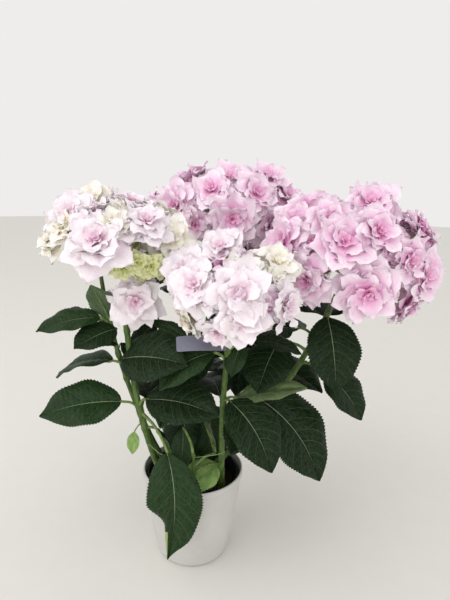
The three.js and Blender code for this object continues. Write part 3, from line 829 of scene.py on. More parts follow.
@dataclass(frozen=True)
class Head:
    """A flower head: a dome of posed florets, of more that fill it, and of small ones underneath."""

    centre: tuple[float, float, float]
    dome: tuple[float, float, float]
    posed: tuple[Floret, ...]
    fill: int
    tones: tuple[Tone, ...]
    under: int
    low_tones: tuple[Tone, ...]
    young: tuple[Floret, ...] = ()

    def spot(self, floret: Floret, inner: bool = False) -> Spot:
        """Finds where a floret sits on the dome.

        Args:
            floret: The floret.
            inner: Whether it is one of the small ones below the outer layer.

        Returns:
            Its place, the way it faces, its width and its shade.
        """
        out = facing(floret.turn, floret.rise)
        place = Vector(o * d for o, d in zip(out, self.dome)) * floret.reach + Vector(self.centre)
        normal = (Vector(o / d for o, d in zip(out, self.dome)).normalized() + out).normalized()
        if floret.face:
            normal = facing(*floret.face)
        elif floret.posed:
            lean = LEAN * min(1, max(0, (floret.rise - LEAN_START) / LEAN_SPAN))
            lean *= STEEP_SHARE if floret.rise > STEEP else 1
            normal = (normal + Vector((0, -lean, 0.2 * lean))).normalized()
        return Spot(place, normal, floret.across, floret.tone, inner)

    def outer_spots(self) -> list[Spot]:
        """Lists the posed florets, then those that wind down the dome wherever there is room.

        Returns:
            The outer florets.
        """
        spots = [self.spot(floret) for floret in self.posed]
        across = 24 + 0.62 * math.sqrt(self.dome[0] * self.dome[1])
        left = self.fill
        for i in range(OUTER_TRIES):
            tone = self.tones[left % len(self.tones)]
            rise = 88 - (i / OUTER_TRIES) * 118
            candidate = self.spot(Floret(i * GOLDEN_ANGLE, rise, across, tone, posed=False))
            apart = all((o.place - candidate.place).length > 0.33 * (o.across + across) for o in spots)
            if apart and left > 0:
                spots.append(candidate)
                left -= 1
        return spots

    def inner_spots(self, outer: Sequence[Spot]) -> list[Spot]:
        """Lists the small florets that show in the gaps, a layer below the outer ones.

        Args:
            outer: The outer florets, in whose gaps they stand.

        Returns:
            The inner florets, the young ones last.
        """
        spots = []
        for i in range(INNER_TRIES):
            if len(spots) >= self.under:
                break
            rise = 84 - (i / INNER_TRIES) * 124
            choice = self.tones if rise > 0 else self.low_tones
            tone = choice[len(spots) % len(choice)]
            floret = Floret(i * GOLDEN_ANGLE + 40, rise, INNER_ACROSS, tone, INNER_REACH, posed=False)
            candidate = self.spot(floret, inner=True)
            above = Vector(candidate.place).lerp(Vector(self.centre), -0.19)
            in_gap = all((o.place - above).length > 0.3 * o.across for o in outer)
            if in_gap and all((o.place - candidate.place).length > INNER_APART for o in spots):
                spots.append(candidate)
        return spots + [self.spot(floret, inner=True) for floret in self.young]


BLUSH, CREAM, PINK, ROSE, YOUNG = Tone.BLUSH, Tone.CREAM, Tone.PINK, Tone.ROSE, Tone.YOUNG

HEADS = {
    "front": Head(
        (49, -90, 386),
        (57, 54, 44),
        (
            Floret(135, 70, 64, BLUSH, 1.2, (-96, 44)),
            Floret(175, 32, 62, BLUSH, 1.15, (-114, 34)),
            Floret(-88, 22, 74, BLUSH),
            Floret(-145, 24, 66, BLUSH),
            Floret(-85, -9, 66, BLUSH, 1.02),
            Floret(10, 48, 60, CREAM, 1.1, (-78, 40)),
            Floret(-38, 2, 60, BLUSH, 1.04),
            Floret(-112, -34, 55, BLUSH, 1.0),
        ),
        8,
        (BLUSH, PINK, CREAM),
        12,
        (CREAM, YOUNG, BLUSH),
    ),
    "left": Head(
        (-98, -24, 436),
        (78, 62, 44),
        (
            Floret(-92, 6, 86, BLUSH, 1.0, (-78, 50)),
            Floret(150, 72, 64, CREAM, 1.05, (-98, 42)),
            Floret(-45, 34, 68, BLUSH, 1.0, (-74, 40)),
            Floret(-18, 6, 70, CREAM, 0.96, (-62, 36)),
            Floret(-150, 50, 62, BLUSH, 0.94, (-104, 30)),
            Floret(-172, 4, 60, CREAM, 0.82, (-128, 30)),
            Floret(178, 34, 62, BLUSH, 0.9, (-122, 30)),
            Floret(-48, -68, 74, BLUSH, 1.6, (-78, 0)),
        ),
        8,
        (BLUSH, CREAM),
        14,
        (YOUNG, CREAM, YOUNG),
        (
            Floret(-119, -42, 32, YOUNG, 0.74, (-95, -20)),
            Floret(-87, -35, 32, YOUNG, 0.8, (-85, -15)),
            Floret(-70, -35, 34, YOUNG, 0.92, (-80, -20)),
            Floret(-58, -23, 32, YOUNG, 0.98, (-75, 10)),
            Floret(-46, -27, 36, YOUNG, 1.06, (-70, -10)),
            Floret(-35, -27, 34, YOUNG, 1.1, (-60, -15)),
            Floret(-48, -43, 28, YOUNG, 1.04, (-70, -40)),
        ),
    ),
    "back": Head(
        (38, 95, 464),
        (87, 70, 50),
        (
            Floret(-138, 10, 78, ROSE),
            Floret(-105, 38, 70, ROSE),
            Floret(-117, -12, 58, ROSE),
            Floret(-85, -2, 80, ROSE),
            Floret(-70, 80, 76, ROSE, 0.9, (-88, 46)),
            Floret(-60, 34, 74, ROSE),
            Floret(0, 56, 70, ROSE, 1.16, (-66, 40)),
            Floret(-6, 28, 72, ROSE, 1.05),
            Floret(178, 5, 60, ROSE, 1.14),
            Floret(-48, -12, 70, ROSE),
        ),
        9,
        (ROSE, ROSE, PINK),
        14,
        (ROSE,),
    ),
    "right": Head(
        (190, -5, 416),
        (90, 78, 66),
        (
            Floret(162, 56, 70, PINK, 1.05, (-102, 40)),
            Floret(-164, 20, 76, ROSE),
            Floret(4, 76, 78, PINK, 1.06, (-86, 40)),
            Floret(-107, 26, 76, PINK),
            Floret(-79, 38, 74, PINK),
            Floret(-14, 34, 68, PINK, 1.08),
            Floret(-131, -12, 72, ROSE),
            Floret(-86, -20, 86, PINK),
            Floret(-34, -6, 76, PINK, 1.02),
            Floret(-40, -38, 66, PINK, 1.1),
            Floret(-52, 10, 70, PINK, 0.94),
            Floret(-128, 52, 68, PINK, 0.95),
            Floret(178, 42, 66, PINK, 1.0, (-118, 30)),
        ),
        9,
        (PINK, ROSE),
        16,
        (ROSE, PINK),
    ),
    "rear_right": Head((132, 156, 386), (62, 58, 42), (), 12, (PINK, ROSE), 10, (ROSE,)),
    "rear_left": Head((-124, 116, 420), (46, 46, 32), (), 9, (BLUSH, PINK), 8, (PINK,)),
}


@dataclass(frozen=True)
class LeafPose:
    """How a leaf leaves its stem: its stalk's turn, rise and length, then its blade's bend and size.

    A tucked leaf has the outer half of one side turned under.
    """

    at: float
    turn: float
    rise: float
    stalk: float
    swing: float
    pitch: float
    droop: float
    long: float
    wide: float
    lean: float
    shade: Shade = Shade.DARK
    bend: float = 0.0
    tuck: float = 0.0


DARK, MIDDLE, OLIVE, BRIGHT = Shade.DARK, Shade.MIDDLE, Shade.OLIVE, Shade.BRIGHT

POSED_LEAVES = {
    "left": (
        LeafPose(0.6, -159, 27, 11, 129, 25, 26, 96, 70, 52),
        LeafPose(0.6, 88, 37, 21, -47, 45, 10, 50, 30, 30),
        LeafPose(0.4, -154, 32, 27, -13, 8, 30, 98, 64, 36, MIDDLE),
        LeafPose(0.4, 143, 29, 30, 6, 23, 20, 64, 44, 50),
        LeafPose(0.41, -55, 40, 29, 30, 15, 30, 98, 66, 36),
        LeafPose(0.39, -37, -42, 62, -46, -65, 26, 134, 70, 0, MIDDLE, 0.26, 0.62),
        LeafPose(0.72, 5, 20, 33, -26, -7, 30, 56, 20, 30, MIDDLE),
        LeafPose(0.38, 119, -21, 18, -143, -71, 10, 84, 30, -50),
        LeafPose(0.34, -140, -38, 16, 40, -62, 20, 28, 17, 0, BRIGHT),
    ),
    "far_left": (
        LeafPose(0.77, -103, 80, 14, -36, 68, 10, 52, 44, -40),
        LeafPose(0.77, -158, 53, 22, -6, 5, 34, 76, 38, 30, MIDDLE),
        LeafPose(0.75, -52, 50, 14, -90, -3, 30, 56, 46, 30),
        LeafPose(0.65, -65, 35, 12, -40, -20, 74, 46, 34, 0),
        LeafPose(0.67, -88, 79, 14, -56, 15, 20, 20, 12, 20),
        LeafPose(0.67, 55, 67, 14, -75, -46, 30, 28, 16, 20),
    ),
    "front": (
        LeafPose(0.53, -56, 26, 15, 14, -19, 52, 98, 72, 14),
        LeafPose(0.54, 12, 4, 19, -25, 26, 20, 86, 34, 30, OLIVE),
        LeafPose(0.8, 21, 28, 20, -143, -43, 34, 44, 30, 0, MIDDLE),
        LeafPose(0.74, -153, 42, 22, -17, -6, 60, 80, 50, 30, MIDDLE),
    ),
    "right": (
        LeafPose(0.39, -120, 45, 40, 100, -24, 50, 136, 90, 34),
        LeafPose(0.83, -100, -4, 15, 18, -42, 34, 94, 70, 0),
        LeafPose(0.62, -36, -10, 34, 6, -24, 40, 76, 62, 20),
        LeafPose(0.67, -158, 18, 47, 39, -34, 40, 72, 66, 10),
        LeafPose(0.73, -174, 24, 36, 28, 5, 24, 60, 42, 30),
    ),
    "back": (
        LeafPose(0.38, -128, 14, 26, -8, 4, 44, 84, 52, 20),
        LeafPose(0.46, -62, 10, 24, 6, -6, 44, 92, 58, 20),
        LeafPose(0.56, -100, 6, 26, -4, -20, 40, 88, 56, 10),
    ),
    "low_front": (
        LeafPose(0.94, 136, 58, 37, 138, -60, 20, 56, 30, 0, MIDDLE),
        LeafPose(0.68, 31, 20, 35, 155, 75, 10, 54, 38, 0, OLIVE),
        LeafPose(0.53, 33, 3, 36, -171, -9, 46, 54, 48, 20, BRIGHT),
    ),
}


@dataclass(frozen=True)
class Pairs:
    """The seeded pairs of leaves up a shoot, each a quarter turn from the one below."""

    start: float
    end: float
    count: int
    first: float
    long: float
    seed: int
    front: bool = False

    def poses(self) -> list[LeafPose]:
        """Draws the pairs, and keeps those that face the front only where front is true.

        Returns:
            How each leaf leaves its stem.
        """
        draw = SeededDraw(self.seed)
        made = []
        for pair in range(self.count):
            height = pair / (self.count - 1) if self.count > 1 else 0
            at = self.start + (self.end - self.start) * height
            for half in (0, 180):
                turn = self.first + 90 * pair + half + draw.between(-12, 24)
                long = self.long * (1.1 - 0.35 * height) * draw.between(0.86, 0.28)
                pitch = draw.between(22, -20)
                droop = draw.between(34, 30)
                lean = draw.between(0, 20)
                wide = long * draw.between(0.56, 0.08)
                stalk = draw.between(16, 14)
                if self.front or math.sin(math.radians(turn)) > -0.1:
                    shade = MIDDLE if (pair + half // 180) % 3 == 1 else DARK
                    made.append(LeafPose(at, turn, 24, stalk, 0, pitch, droop, long, wide, lean, shade))
        return made


LOW_LEAVES = {
    "back": (
        LeafPose(0.31, -132, -20, 20, 10, -62, 20, 92, 60, 10),
        LeafPose(0.31, -52, -20, 20, -10, -60, 20, 92, 60, 10, MIDDLE),
    ),
    "left": (LeafPose(0.31, 12, -10, 16, 10, -58, 20, 66, 40, 0),),
    "rear_right": (
        LeafPose(0.65, -120, 0, 22, 0, -40, 20, 84, 60, 10),
        LeafPose(0.4, 144, 24, 22, 0, -10, 20, 84, 60, 10),
    ),
    "right": (LeafPose(0.4, -120, 24, 22, 0, -10, 24, 84, 60, 10),),
}

PAIRS = {
    "far_left": Pairs(0.56, 0.78, 2, 75, 70, 11),
    "left": Pairs(0.38, 0.74, 3, 80, 100, 12),
    "front": Pairs(0.5, 0.8, 2, 95, 84, 13),
    "right": Pairs(0.36, 0.78, 3, 70, 110, 14),
    "back": Pairs(0.36, 0.8, 5, 60, 112, 15, front=True),
    "rear_right": Pairs(0.34, 0.82, 4, 40, 112, 16, front=True),
    "rear_left": Pairs(0.34, 0.82, 4, 110, 108, 17),
    "low_rear": Pairs(0.4, 0.9, 2, 60, 92, 18),
}

Shape = tuple[list[Vector], list[tuple[int, ...]]]

# How far each half of a leaf is folded up from its midrib, in degrees.
LEAF_FOLD = 14.0


def limb_shape(path: Path, start: float, end: float, radius: Callable[[float], float], sides: int, steps: int,
               level_foot: bool = False) -> Shape:
    """Makes a plain closed limb, to test whether pieces meet.

    Args:
        path: The line that it follows.
        start: The share of the path where it starts.
        end: The share where it ends.
        radius: The radius at a share.
        sides: Corners round it.
        steps: Lengths along it.
        level_foot: Whether a start at 0 is cut level.

    Returns:
        The corners in millimetres and the faces.
    """
    corners = []
    for row in range(steps + 1):
        share = start + (end - start) * row / steps
        along = UP if share == 0 and level_foot else path.tangent(share)
        side = along.cross(STEM_ASKEW).normalized()
        other = side.cross(along)
        for k in range(sides):
            turn = 2 * math.pi * k / sides
            reach = radius(share)
            corners.append(path.at(share) + side * math.sin(turn) * reach + other * math.cos(turn) * reach)
    faces = [tuple(int(c) for c in quad) for quad in grid_quads(steps + 1, sides, wrap=True)]
    faces += [tuple(range(sides)), tuple(range(steps * sides, (steps + 1) * sides))]
    return corners, faces


def star_shape(spot: Spot, spin: float, spare: float) -> Shape:
    """Makes a floret's plain star of eight tips, to test whether pieces meet.

    Args:
        spot: Where it sits.
        spin: How far it is turned about its own normal, in radians.
        spare: How much it is grown.

    Returns:
        The corners in millimetres and the faces.
    """
    side, other = floret_axes(spot.normal)
    corners = [spot.place - spot.normal * (6 + spare)]
    for height in (-0.6 - spare, 0.6 + spare):
        for k in range(8):
            outer = k % 2 == 0
            turn = math.pi * k / 4 + spin
            reach = (1 if outer else 0.9) * spot.across / 2 + spare
            lift = (-0.06 if outer else 0.08) * spot.across
            out = side * math.cos(turn) + other * math.sin(turn)
            corners.append(spot.place + spot.normal * (height + lift) + out * reach)
    corners.append(spot.place + spot.normal * (9 + spare))
    faces = []
    for k in range(8):
        following = (k + 1) % 8
        faces += [(0, 1 + k, 1 + following), (1 + k, 9 + k, 9 + following, 1 + following)]
        faces.append((17, 9 + following, 9 + k))
    return corners, faces


def floret_axes(normal: Vector) -> tuple[Vector, Vector]:
    """Gives the two directions that a floret's sepals are turned from."""
    side = normal.cross(FLORET_ASKEW).normalized()
    return side, side.cross(normal)


class Clearance:
    """What is grown so far, so that a new piece can be kept clear of the other masses."""

    def __init__(self) -> None:
        """Starts with nothing grown."""
        self.grown: dict[str, list[tuple[BVHTree, np.ndarray, np.ndarray]]] = {}

    @staticmethod
    def _tree(shape: Shape) -> tuple[BVHTree, np.ndarray, np.ndarray]:
        """Gives the search tree of a shape, and the least and greatest corners of its box."""
        points = np.array([tuple(c) for c in shape[0]])
        return BVHTree.FromPolygons(*shape), points.min(axis=0), points.max(axis=0)

    def note(self, mass: str, shape: Shape) -> None:
        """Notes a shape as part of a mass."""
        self.grown.setdefault(mass, []).append(self._tree(shape))

    def meets(self, mass: str, shape: Shape) -> bool:
        """Tells whether a shape meets any shape of another mass.

        Args:
            mass: The mass that the shape belongs to.
            shape: The shape.

        Returns:
            Whether it meets one.
        """
        tree, low, high = self._tree(shape)
        others = (grown for other, shapes in self.grown.items() if other != mass for grown in shapes)
        return any(
            np.all(low <= most) and np.all(least <= high) and tree.overlap(grown)
            for grown, least, most in others
        )


class Leaf:
    """One leaf on its shoot: a stalk, and a folded, drooping blade."""

    def __init__(self, shoot: Shoot, pose: LeafPose) -> None:
        """Works out where the stalk and the blade run.

        Args:
            shoot: The shoot that it grows on.
            pose: How it leaves its stem.
        """
        self.pose = pose
        self.girth = min(1.7, pose.long * 0.03)
        root = shoot.path.at(pose.at)
        start = root + facing(pose.turn, pose.rise + 14) * pose.stalk * 0.5
        base = root + facing(pose.turn, pose.rise) * pose.stalk
        self.heading = pose.turn + pose.swing
        self.base = base
        self.stalk = through([root, start, base, base + facing(self.heading, pose.pitch) * 5])

    def frames(self, shares: np.ndarray) -> tuple[np.ndarray, np.ndarray, np.ndarray]:
        """Gives the midrib and how the blade lies across it.

        Args:
            shares: Shares of the blade's length.

        Returns:
            The midrib's points at the shares, the directions to the side and those above.
        """
        pose, heading = self.pose, math.radians(self.heading)
        parts = 96
        middle = (np.arange(parts) + 0.5) / parts
        line = np.cumsum(self._along(middle, heading), axis=0) * pose.long / parts
        line = np.concatenate([[(0.0, 0.0, 0.0)], line]) + np.array(self.base)
        marks = np.linspace(0, 1, parts + 1)
        centre = np.stack([np.interp(shares, marks, line[:, axis]) for axis in range(3)], axis=1)
        along = self._along(shares, heading)
        level = np.array((math.sin(heading), -math.cos(heading), 0.0))
        lean = math.radians(pose.lean * math.cos(heading))
        side = level * math.cos(lean) + np.cross(along, level) * math.sin(lean)
        return centre, side, np.cross(side, along)

    def _along(self, shares: np.ndarray, heading: float) -> np.ndarray:
        """Gives the blade's direction.

        Args:
            shares: Shares of the blade's length.
            heading: Its turn about Z in radians.

        Returns:
            The direction at each share.
        """
        slope = np.radians(self.pose.pitch - self.pose.droop * shares)
        level = np.cos(slope)
        return np.stack([level * math.cos(heading), level * math.sin(heading), np.sin(slope)], axis=1)

    def outline(self, shares: np.ndarray) -> np.ndarray:
        """Gives the blade's half width at the shares."""
        full = np.sin(np.pi * np.clip(shares, 1e-6, 1) ** 0.72).clip(0) ** 0.85
        return self.pose.wide / 2 * np.maximum(0.012, full * (1 - 0.3 * shares**5))

    def plain(self, spare: float) -> list[Shape]:
        """Gives the plain stalk and plate that the clearance is tested with.

        Args:
            spare: How much they are grown.

        Returns:
            The stalk and the plate.
        """
        rows, columns = 5, 3
        thickness = max(0.6, self.pose.long / 80) + 2 * spare
        girth = self.girth + spare
        shares = np.linspace(0, 1, rows)
        centre, side, above = self.frames(shares)
        half = np.maximum(self.outline(shares), 0.015 * self.pose.wide) + spare
        fold = math.radians(LEAF_FOLD)
        corners = []
        for z in (-0.5, 0.5):
            for row in range(rows):
                for x in (-1, 0, 1):
                    out = side[row] * x * half[row] * math.cos(fold)
                    lift = above[row] * (abs(x) * half[row] * math.sin(fold) + z * thickness)
                    corners.append(Vector(centre[row] + out + lift))
        flat, over = grid_quads(rows, columns), rows * columns
        faces = [tuple(int(c) + layer for c in quad) for quad in flat for layer in (0, over)]
        rim = [0, 1, 2, 5, 8, 11, 14, 13, 12, 9, 6, 3]
        faces += [(a, b, b + over, a + over) for a, b in zip(rim, [*rim[1:], rim[0]])]
        return [limb_shape(self.stalk, 0, 1, lambda _: girth, 3, 2), (corners, faces)]


# The swings and pitches in degrees that are tried in turn until a leaf has room.
NUDGES = ((0, 0), (0, 5), (0, -5), (6, 0), (-6, 0), (6, 6), (-6, 6), (6, -6), (-6, -6), (12, 0), (-12, 0),
          (0, 12), (0, -12), (12, 10), (-12, 10), (12, -10), (-12, -10))


def placed(piece: bpy.types.Object, slot: str, nodes: Iterable[str]) -> bpy.types.Object:
    """Sets a piece on its body, names the nodes that it stands for and its slot, and reports it.

    Args:
        piece: The piece.
        slot: The record's material slot that it takes its finish from.
        nodes: The CAD nodes that it replaces.

    Returns:
        The piece.
    """
    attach(piece, BODY)
    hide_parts(*nodes)
    LOG.info("%s: %d faces", piece.name, len(piece.data.polygons))
    return piece


class Growth:
    """Everything that the rule grows: which florets and leaves there is room for, and their stalks."""

    HUB_AT = 0.985
    SECTORS = 5
    FORK_SHARE = 0.42
    FLORET_STALK = 1.5
    SPIN = 0.9

    def __init__(self, fixed: dict[str, Shape]) -> None:
        """Grows the heads and then the leaves, in the source's order.

        Args:
            fixed: The plain shapes that stand round the plant, by mass.
        """
        self.clearance = Clearance()
        self.florets: dict[str, list[tuple[Spot, float]]] = {}
        self.flower_stalks: list[tuple[list[Vector], list[float]]] = []
        self.leaves: dict[str, list[Leaf]] = {}
        card = "label"
        for name, shape in fixed.items():
            if name != card:
                self.clearance.note(name, shape)
        for shoot in SHOOTS.values():
            self._stem(shoot)
        for name, head in HEADS.items():
            self._head(SHOOTS[name], head)
        self.clearance.note(card, fixed[card])
        for shoot in SHOOTS.values():
            poses = list(POSED_LEAVES.get(shoot.name, ()))
            if shoot.name in PAIRS:
                poses += PAIRS[shoot.name].poses()
            self.leaves[shoot.name] = []
            self._leaves(shoot, poses)
        for name, poses in LOW_LEAVES.items():
            self._leaves(SHOOTS[name], poses)

    def _stem(self, shoot: Shoot) -> None:
        """Notes the three lengths of a shoot's stem.

        Args:
            shoot: The shoot.
        """
        step = GAP / shoot.path.length
        radius = shoot.radius_at
        foot = limb_shape(shoot.path, 0, shoot.leafy, radius, 6, 4, level_foot=True)
        self.clearance.note(f"stem_{shoot.name}", foot)
        leafy = limb_shape(shoot.path, shoot.leafy + step, shoot.neck, radius, 6, 4)
        self.clearance.note(f"leaves_{shoot.name}", leafy)
        if shoot.name in HEADS:
            neck = limb_shape(shoot.path, shoot.neck + step, 1, radius, 6, 2)
            self.clearance.note(f"flower_head_{shoot.name}", neck)

    def _head(self, shoot: Shoot, head: Head) -> None:
        """Grows a head's florets wherever their plain shapes clear the other masses.

        Args:
            shoot: The shoot that the head ends.
            head: The head.
        """
        name = f"flower_head_{shoot.name}"
        hub, centre = shoot.path.at(self.HUB_AT), Vector(head.centre)
        outer = head.outer_spots()

        def sector(spot: Spot) -> int:
            """Gives the number of the part of the head, counted round it, that a floret is in."""
            turn = math.atan2(spot.place.y - centre.y, spot.place.x - centre.x)
            return math.floor((turn / (2 * math.pi) + 1) * self.SECTORS) % self.SECTORS

        def plain(spot: Spot, line: Path, spin: float, spare: float) -> list[Shape]:
            """Gives a floret's plain stalk and star, grown by the spare."""
            stalk = limb_shape(line, 0, 1, lambda _: self.FLORET_STALK + spare, 3, 1)
            return [stalk, star_shape(spot, spin, spare)]

        forks = []
        for part in range(self.SECTORS):
            own = [spot.place for spot in outer if sector(spot) == part]
            mean = sum(own, Vector()) / max(1, len(own))
            forks.append((mean - hub) * self.FORK_SHARE + hub)
        kept, used, grown = [], set(), []
        for i, spot in enumerate([*outer, *head.inner_spots(outer)]):
            calyx = spot.place - spot.normal * 1.8
            fork = forks[sector(spot)]
            line = Path([fork, calyx])
            spin = i * self.SPIN
            if not any(self.clearance.meets(name, shape) for shape in plain(spot, line, spin, GAP)):
                kept.append((spot, spin))
                used.add(sector(spot))
                if not spot.inner:
                    grown += plain(spot, line, spin, 0)
                sag = fork.lerp(calyx, 0.5) - spot.normal * 1.5
                self._stalk([fork, sag, calyx], self.FLORET_STALK, 1.2)
            elif i < len(head.posed):
                LOG.info("%s: no room for posed floret %d", name, i)
        for part in used:
            self._stalk([hub, hub.lerp(forks[part], 0.5) - UP * 1.5, forks[part]], 2.3, 1.8)
        for shape in grown:
            self.clearance.note(name, shape)
        self.florets[shoot.name] = kept

    def _stalk(self, points: list[Vector], start: float, end: float) -> None:
        """Keeps a flower stalk as a smooth line with its girths."""
        line = through(points, 5).points
        self.flower_stalks.append((line, list(np.linspace(start, end, len(line)))))

    def _leaves(self, shoot: Shoot, poses: Sequence[LeafPose]) -> None:
        """Grows leaves on a shoot, each nudged until it clears the other masses, or left out.

        Args:
            shoot: The shoot.
            poses: How each of the leaves leaves its stem.
        """
        name = f"leaves_{shoot.name}"
        for pose in poses:
            for swing, pitch in NUDGES:
                leaf = Leaf(shoot, replace(pose, swing=pose.swing + swing, pitch=pose.pitch + pitch))
                if not any(self.clearance.meets(name, shape) for shape in leaf.plain(GAP)):
                    for shape in leaf.plain(0):
                        self.clearance.note(name, shape)
                    self.leaves[shoot.name].append(leaf)
                    break
            else:
                LOG.info("%s: no room for the leaf at %.2f", name, pose.at)


@dataclass
class Blades:
    """The leaf blades of some shoots: quilted between the veins, toothed and a little wavy."""

    name: str
    shoots: tuple[str, ...]
    tooth: float = 3.6
    tooth_depth: float = 0.056
    thickness: float = 0.45
    quilt: float = 0.02
    groove: float = 0.01
    rib: float = 0.9
    wave: float = 0.018
    columns: tuple[float, ...] = (-1, -0.9, -0.66, -0.4, -0.14, 0, 0.14, 0.4, 0.66, 0.9, 1)
    tuck_start: float = 0.44
    tuck_span: float = 0.24
    pale_side: float = 0.84
    pale_end: float = 0.72

    def build(self, growth: Growth) -> bpy.types.Object:
        """Makes the piece with the blades of its shoots.

        Args:
            growth: What the rule grew.

        Returns:
            The piece.
        """
        skin = Skin()
        for shoot in self.shoots:
            for i, leaf in enumerate(growth.leaves[shoot]):
                self._blade(skin, leaf, SeededDraw(len(shoot) * 31 + i * 17 + 5))
        shades = [material_of(LEAF_TOPS[shade]) for shade in Shade]
        unders = [material_of(LEAF_UNDERS[shade]) for shade in (Shade.DARK, Shade.BRIGHT)]
        piece = skin.piece(self.name, [*shades, *unders], mapped=True)
        return placed(piece, "leaf", [f"leaves_{shoot}" for shoot in self.shoots])

    @staticmethod
    def _outline(along: np.ndarray) -> np.ndarray:
        """Gives a blade's share of its half width: fullest before its middle, with a drawn-out tip."""
        full = np.sin(np.pi * np.clip(along, 1e-6, 1) ** 0.86).clip(0) ** 0.7
        return full * (1 - 0.4 * np.clip((along - 0.82) / 0.18, 0, 1) ** 1.2)

    def _blade(self, skin: Skin, leaf: Leaf, draw: SeededDraw) -> None:
        """Adds one blade to the skin.

        Args:
            skin: The skin that takes it.
            leaf: The leaf.
            draw: The draw that its waves come from.
        """
        pose = leaf.pose
        teeth = max(6, round(pose.long / self.tooth))
        rows = teeth * 3 + 1
        along = np.linspace(0, 1, rows)
        across = np.array(self.columns)
        centre, side, above = leaf.frames(along)
        half = pose.wide / 2 * np.maximum(0.012, self._outline(along))
        saw = np.tile([0.0, 0.6, 1.0], teeth + 1)[:rows] * self.tooth_depth
        v, u = np.meshgrid(along, across, indexing="ij")
        span = np.abs(u)
        margin = np.clip((span - 0.66) / 0.34, 0, 1)
        width = half[:, None] * (1 + (saw[:, None] - self.tooth_depth / 2) * margin)
        fold = math.radians(LEAF_FOLD)
        phase = (v - VEIN_SWEEP * span**VEIN_CURVE) * LEAF_TOPS[pose.shade].veins
        inner = np.minimum(1, span / 0.2) * (1 - span**5)
        lift = np.sqrt(span**2 + 0.004) * width * math.sin(fold)
        lift += pose.long * self.quilt * np.abs(np.sin(np.pi * phase)) ** 0.7 * inner
        lift -= pose.long * self.groove * np.exp(-((u / 0.07) ** 2))
        shift = draw.between(0, 6.28)
        lift += pose.long * self.wave * np.sin(2 * np.pi * v * 2.7 + shift + np.sign(u) * 0.8) * span**2.2
        lift -= 0.16 * width * span**3
        turned = np.clip((v - self.tuck_start) / self.tuck_span, 0, 1)
        tuck = pose.tuck * turned**2 * (3 - 2 * turned) * (u > 0)
        lift -= 0.45 * tuck * width * span**1.5
        bend = pose.long * (draw.between(-0.05, 0.1) * along**2 - pose.bend * along * (1 - along))
        under = lift - self.thickness - self.rib * np.exp(-((u / 0.06) ** 2)) * (1 - v)
        slant = u * width * math.cos(fold) * (1 - tuck) + bend[:, None]
        flat = centre[:, None] + side[:, None] * slant[..., None]
        faces = [flat + above[:, None] * height[..., None] for height in (lift, under)]
        places = both_faces(*[np.stack([0.5 + 0.5 * u, v], axis=-1)] * 2)
        quads, below, creases = two_sided(rows, len(across))
        dark_under = len(Shade)
        bright_under = dark_under + 1
        underside = bright_under if pose.shade in (Shade.BRIGHT, Shade.OLIVE) else dark_under
        slots = np.where(below == 1, underside, pose.shade.value)
        spots = places[quads].mean(axis=1)
        pale = (spots[:, 0] > self.pale_side) & (spots[:, 1] > self.pale_end)
        slots[(pose.tuck > 0) & pale] = bright_under
        skin.take(both_faces(*faces), quads, slots, places, creases)


class GrowingNodes(Nodes):
    """A geometry node tree that takes a mesh and gives one."""

    def __init__(self, name: str, kinds: dict[str, str]) -> None:
        """Starts the tree.

        Args:
            name: The tree's name.
            kinds: The socket type of each input beside the mesh.
        """
        self.tree = bpy.data.node_groups.new(name, "GeometryNodeTree")
        face = self.tree.interface
        face.new_socket("Geometry", in_out="INPUT", socket_type="NodeSocketGeometry")
        self.inputs = {
            label: face.new_socket(label, in_out="INPUT", socket_type=f"NodeSocket{kind}").identifier
            for label, kind in kinds.items()
        }
        face.new_socket("Geometry", in_out="OUTPUT", socket_type="NodeSocketGeometry")
        self.start = add(self.tree, "NodeGroupInput").outputs

    def instances(self, points: Socket, shapes: Socket, **choice: Socket) -> Socket:
        """Sets a shape of a collection on each point, as plain geometry.

        Args:
            points: The points.
            shapes: The collection.
            choice: Which shape each point gets, how it is turned and how it is sized.

        Returns:
            The geometry.
        """
        apart = {"Collection": shapes, "Separate Children": True, "Reset Children": True}
        shape = self.node("GeometryNodeCollectionInfo", apart)
        sown = {"Points": points, "Instance": shape, "Pick Instance": True}
        sown |= {name.replace("_", " ").title(): socket for name, socket in choice.items()}
        return self.node("GeometryNodeRealizeInstances", [self.node("GeometryNodeInstanceOnPoints", sown)])


